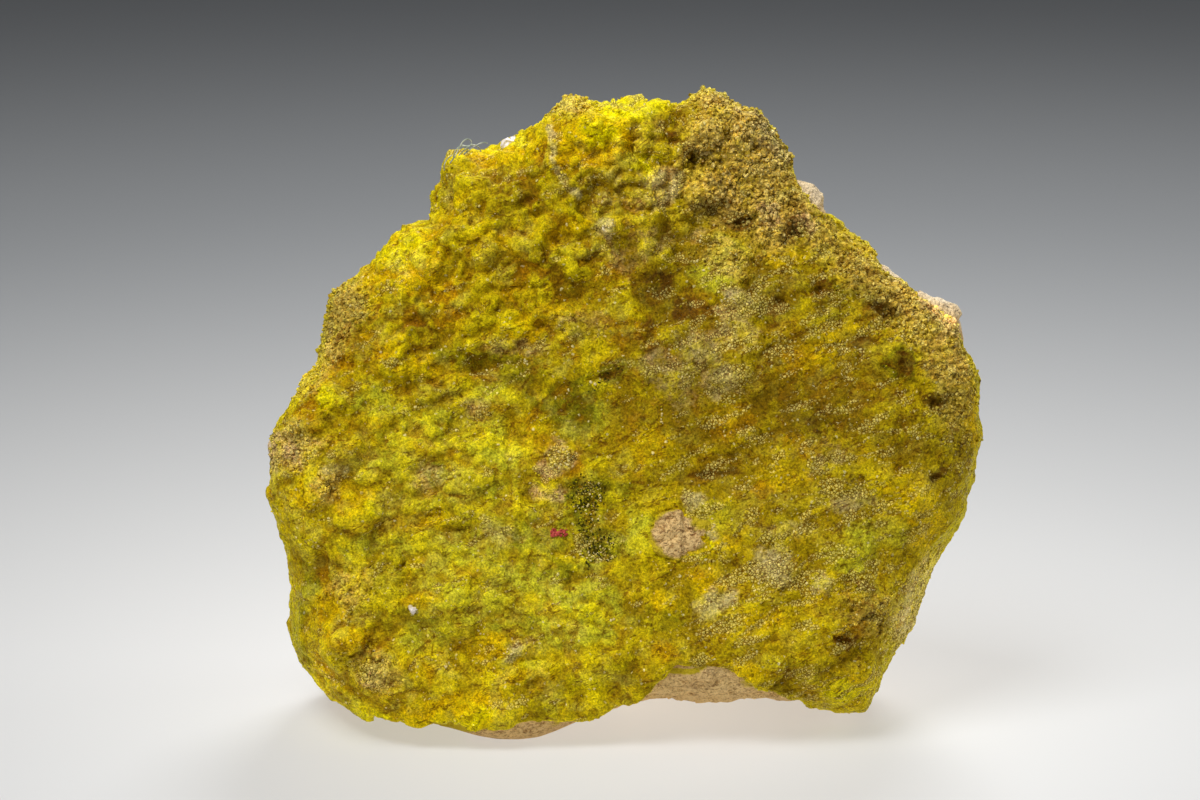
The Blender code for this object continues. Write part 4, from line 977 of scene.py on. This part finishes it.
red_at, red_out = on_crust([
    (RED_SPECK[0] + RED_SPECK[2] * draw.uniform(-1, 1), RED_SPECK[1] + RED_SPECK[3] * draw.uniform(-1, 1))
    for _ in range(RED_PIECES)])
red_at += red_out * (RED_RISE / MM)
red = add_grains("red_speck", red_at, draw.uniform(*RED_RADII, len(red_at)), 20, haematite)
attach(red, "root")


# ------------------------------ dark green grains
# A spread of blackish green grains, 0.12 to 0.28 mm, that dot the olive patch at
# the middle of the face in two clusters, each half sunk in the crust.

DARK_COUNT = 240
DARK_RADII = (0.06, 0.14)  # mm
FRONT_WITHIN = 8  # mm into the stone: only the front carries them

# Dark green mineral dust: nearly black, with a dull, slightly waxy surface.
dark_green = speckled(
    "dark_green_mineral", 0.4, 2.0, ("#242400", "#5A5610"), {"Roughness": 0.75, "Specular IOR Level": 0.1})

dark_at, _, _ = strewn(showing * stains_and_painted_light["mossy"] ** 1.5 * (places[:, 1] < FRONT_WITHIN), DARK_COUNT)
dark = add_grains("dark_green_grains", dark_at, draw.uniform(*DARK_RADII, DARK_COUNT), 20, dark_green)
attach(dark, "root")


# ------------------------------ lint
# A curl of textile lint caught on the top left corner: five fine grey-green
# fibres, one to three millimetres long. They are a fiftieth of a millimetre
# thick, and are drawn at a tenth so that they show.

FIBRE_RADIUS = 0.055  # mm
FIBRES = [  # places on the face and above it, in mm: across, depth, height
    [(-15.6, 2.6, 52.6), (-15.5, 2.0, 53.3), (-15.0, 1.8, 53.8), (-14.4, 2.0, 53.7), (-14.2, 2.4, 53.3),
     (-14.6, 2.6, 53.1)],
    [(-15.1, 2.4, 52.9), (-14.6, 2.0, 53.4), (-13.9, 1.8, 54.0), (-13.3, 2.2, 53.8), (-13.1, 2.8, 53.3)],
    [(-16.4, 2.6, 51.6), (-16.5, 2.0, 52.2), (-16.1, 1.8, 52.7), (-15.7, 2.2, 52.9)],
    [(-15.9, 2.4, 52.2), (-15.2, 1.8, 53.0), (-14.9, 1.6, 54.1), (-14.2, 1.8, 54.5), (-13.7, 2.0, 54.0),
     (-14.2, 2.2, 53.6), (-14.9, 2.4, 53.9)],
    [(-14.6, 2.6, 53.0), (-13.9, 2.2, 53.6), (-13.0, 2.2, 54.3), (-12.5, 2.4, 54.0)],
]

# Cotton lint: matt, pale grey with a green cast.
cotton = speckled("cotton_lint", 0.6, 1.0, ("#8E9A80", "#DCE0CC"), {"Roughness": 0.85})

fibre_path = bpy.data.curves.new("lint_fibres", "CURVE")
fibre_path.dimensions = "3D"
fibre_path.bevel_depth = FIBRE_RADIUS / MM
fibre_path.bevel_resolution = 1
fibre_path.use_fill_caps = True
for fibre in FIBRES:
    line = fibre_path.splines.new("NURBS")
    line.points.add(len(fibre) - 1)
    for point, at in zip(line.points, off_face(np.array(fibre))):
        point.co = (*at, 1.0)
    line.order_u = 4
    line.use_endpoint_u = True
    line.resolution_u = 6
lint_curve = bpy.data.objects.new("lint_path", fibre_path)
bpy.context.scene.collection.objects.link(lint_curve)
lint_mesh = bpy.data.meshes.new_from_object(lint_curve.evaluated_get(bpy.context.evaluated_depsgraph_get()))
bpy.data.objects.remove(lint_curve)
lint = add_mesh("lint_fibres", lint_mesh, cotton)
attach(lint, "root")


# ------------------------------ stage
# A plain pale table under soft studio light. Its top has a painted glow in its own
# material, with no lamp under it, brightest round the stone and falling off behind it.

TABLE_HALF = 1.2  # m
GLOW = 0.58  # how brightly the table top's painted glow shines
GLOW_REACH = 0.22  # m from the stone to where that painted glow ends

table_finish, tree, place = new_material("matt_white_table_painted_glow")
tooth = add_node(tree, "TexNoise", {}, {"Vector": place, "Scale": MM / 4, "Detail": 3.0})
tooth_bump = add_node(tree, "Bump", {}, {"Strength": 0.05, "Distance": 0.1 / MM, "Height": tooth})
glow_place = add_node(tree, "VectorMath", {"operation": "SCALE"}, {0: place, "Scale": 1 / GLOW_REACH})
glow = add_node(tree, "TexGradient", {"gradient_type": "QUADRATIC_SPHERE"}, {"Vector": glow_place}).outputs["Fac"]
glow_strength = add_node(tree, "Math", {"operation": "MULTIPLY"}, {0: glow, 1: GLOW})
# the painted glow: emission in the table's own material
surface = add_node(tree, "BsdfPrincipled", {}, {
    "Base Color": "#9A9C9E", "Roughness": 0.6, "Normal": tooth_bump,
    "Emission Color": "#FFFAF2", "Emission Strength": glow_strength})
add_node(tree, "OutputMaterial", {}, {"Surface": surface})

table_mesh = bpy.data.meshes.new("table_top")
table_mesh.from_pydata([
    (TABLE_HALF * right, TABLE_HALF * back, 0) for right, back in ((-1, -1), (1, -1), (1, 1), (-1, 1))
], [], [(0, 1, 2, 3)])
table = add_mesh("table_top", table_mesh, table_finish)

SOFTBOXES = [  # place and aim in m, size in m, watts, spread in degrees
    ("overhead_left", (-0.16, -0.20, 0.46), (0.0, -0.02, 0.03), 0.26, 0.495, 80),
    ("front_fill", (-0.25, -0.60, 0.30), (0.0, 0.0, 0.03), 0.40, 0.235, 120),
    ("behind_above", (0.10, 0.36, 0.46), (0.0, -0.03, 0.04), 0.24, 0.36, 70),
    ("right_side", (0.44, 0.10, 0.16), (0.02, 0.0, 0.03), 0.20, 0.11, 70),
]
for name, stand, aim, size, watts, spread in SOFTBOXES:
    lamp = bpy.data.lights.new(name, "AREA")
    lamp.size = size
    lamp.energy = watts
    lamp.spread = math.radians(spread)
    softbox = bpy.data.objects.new(name, lamp)
    softbox.location = stand
    softbox.rotation_euler = (Vector(aim) - Vector(stand)).to_track_quat("-Z", "Y").to_euler()
    bpy.context.scene.collection.objects.link(softbox)

room = bpy.data.worlds.new("studio_room")
room.use_nodes = True
room.node_tree.nodes["Background"].inputs["Color"].default_value = linear("#D6DADF")
room.node_tree.nodes["Background"].inputs["Strength"].default_value = 0.14
bpy.context.scene.world = room
bpy.context.scene.view_settings.view_transform = "Standard"

CAMERA_STAND = np.array([(-2.27, -447.0, 30.7)])  # mm: across, out from the face and up it
LENS = 148.5  # mm on a 36 mm sensor

camera_data = bpy.data.cameras.new("studio_camera")
camera_data.lens = LENS
camera_data.sensor_width = 36.0
camera_data.clip_start = 0.01
camera_data.clip_end = 10.0
camera = bpy.data.objects.new("studio_camera", camera_data)
camera.location = off_face(CAMERA_STAND)[0]
camera.rotation_euler = (math.pi / 2 - LEAN, 0.0, 0.0)
bpy.context.scene.collection.objects.link(camera)
bpy.context.scene.camera = camera
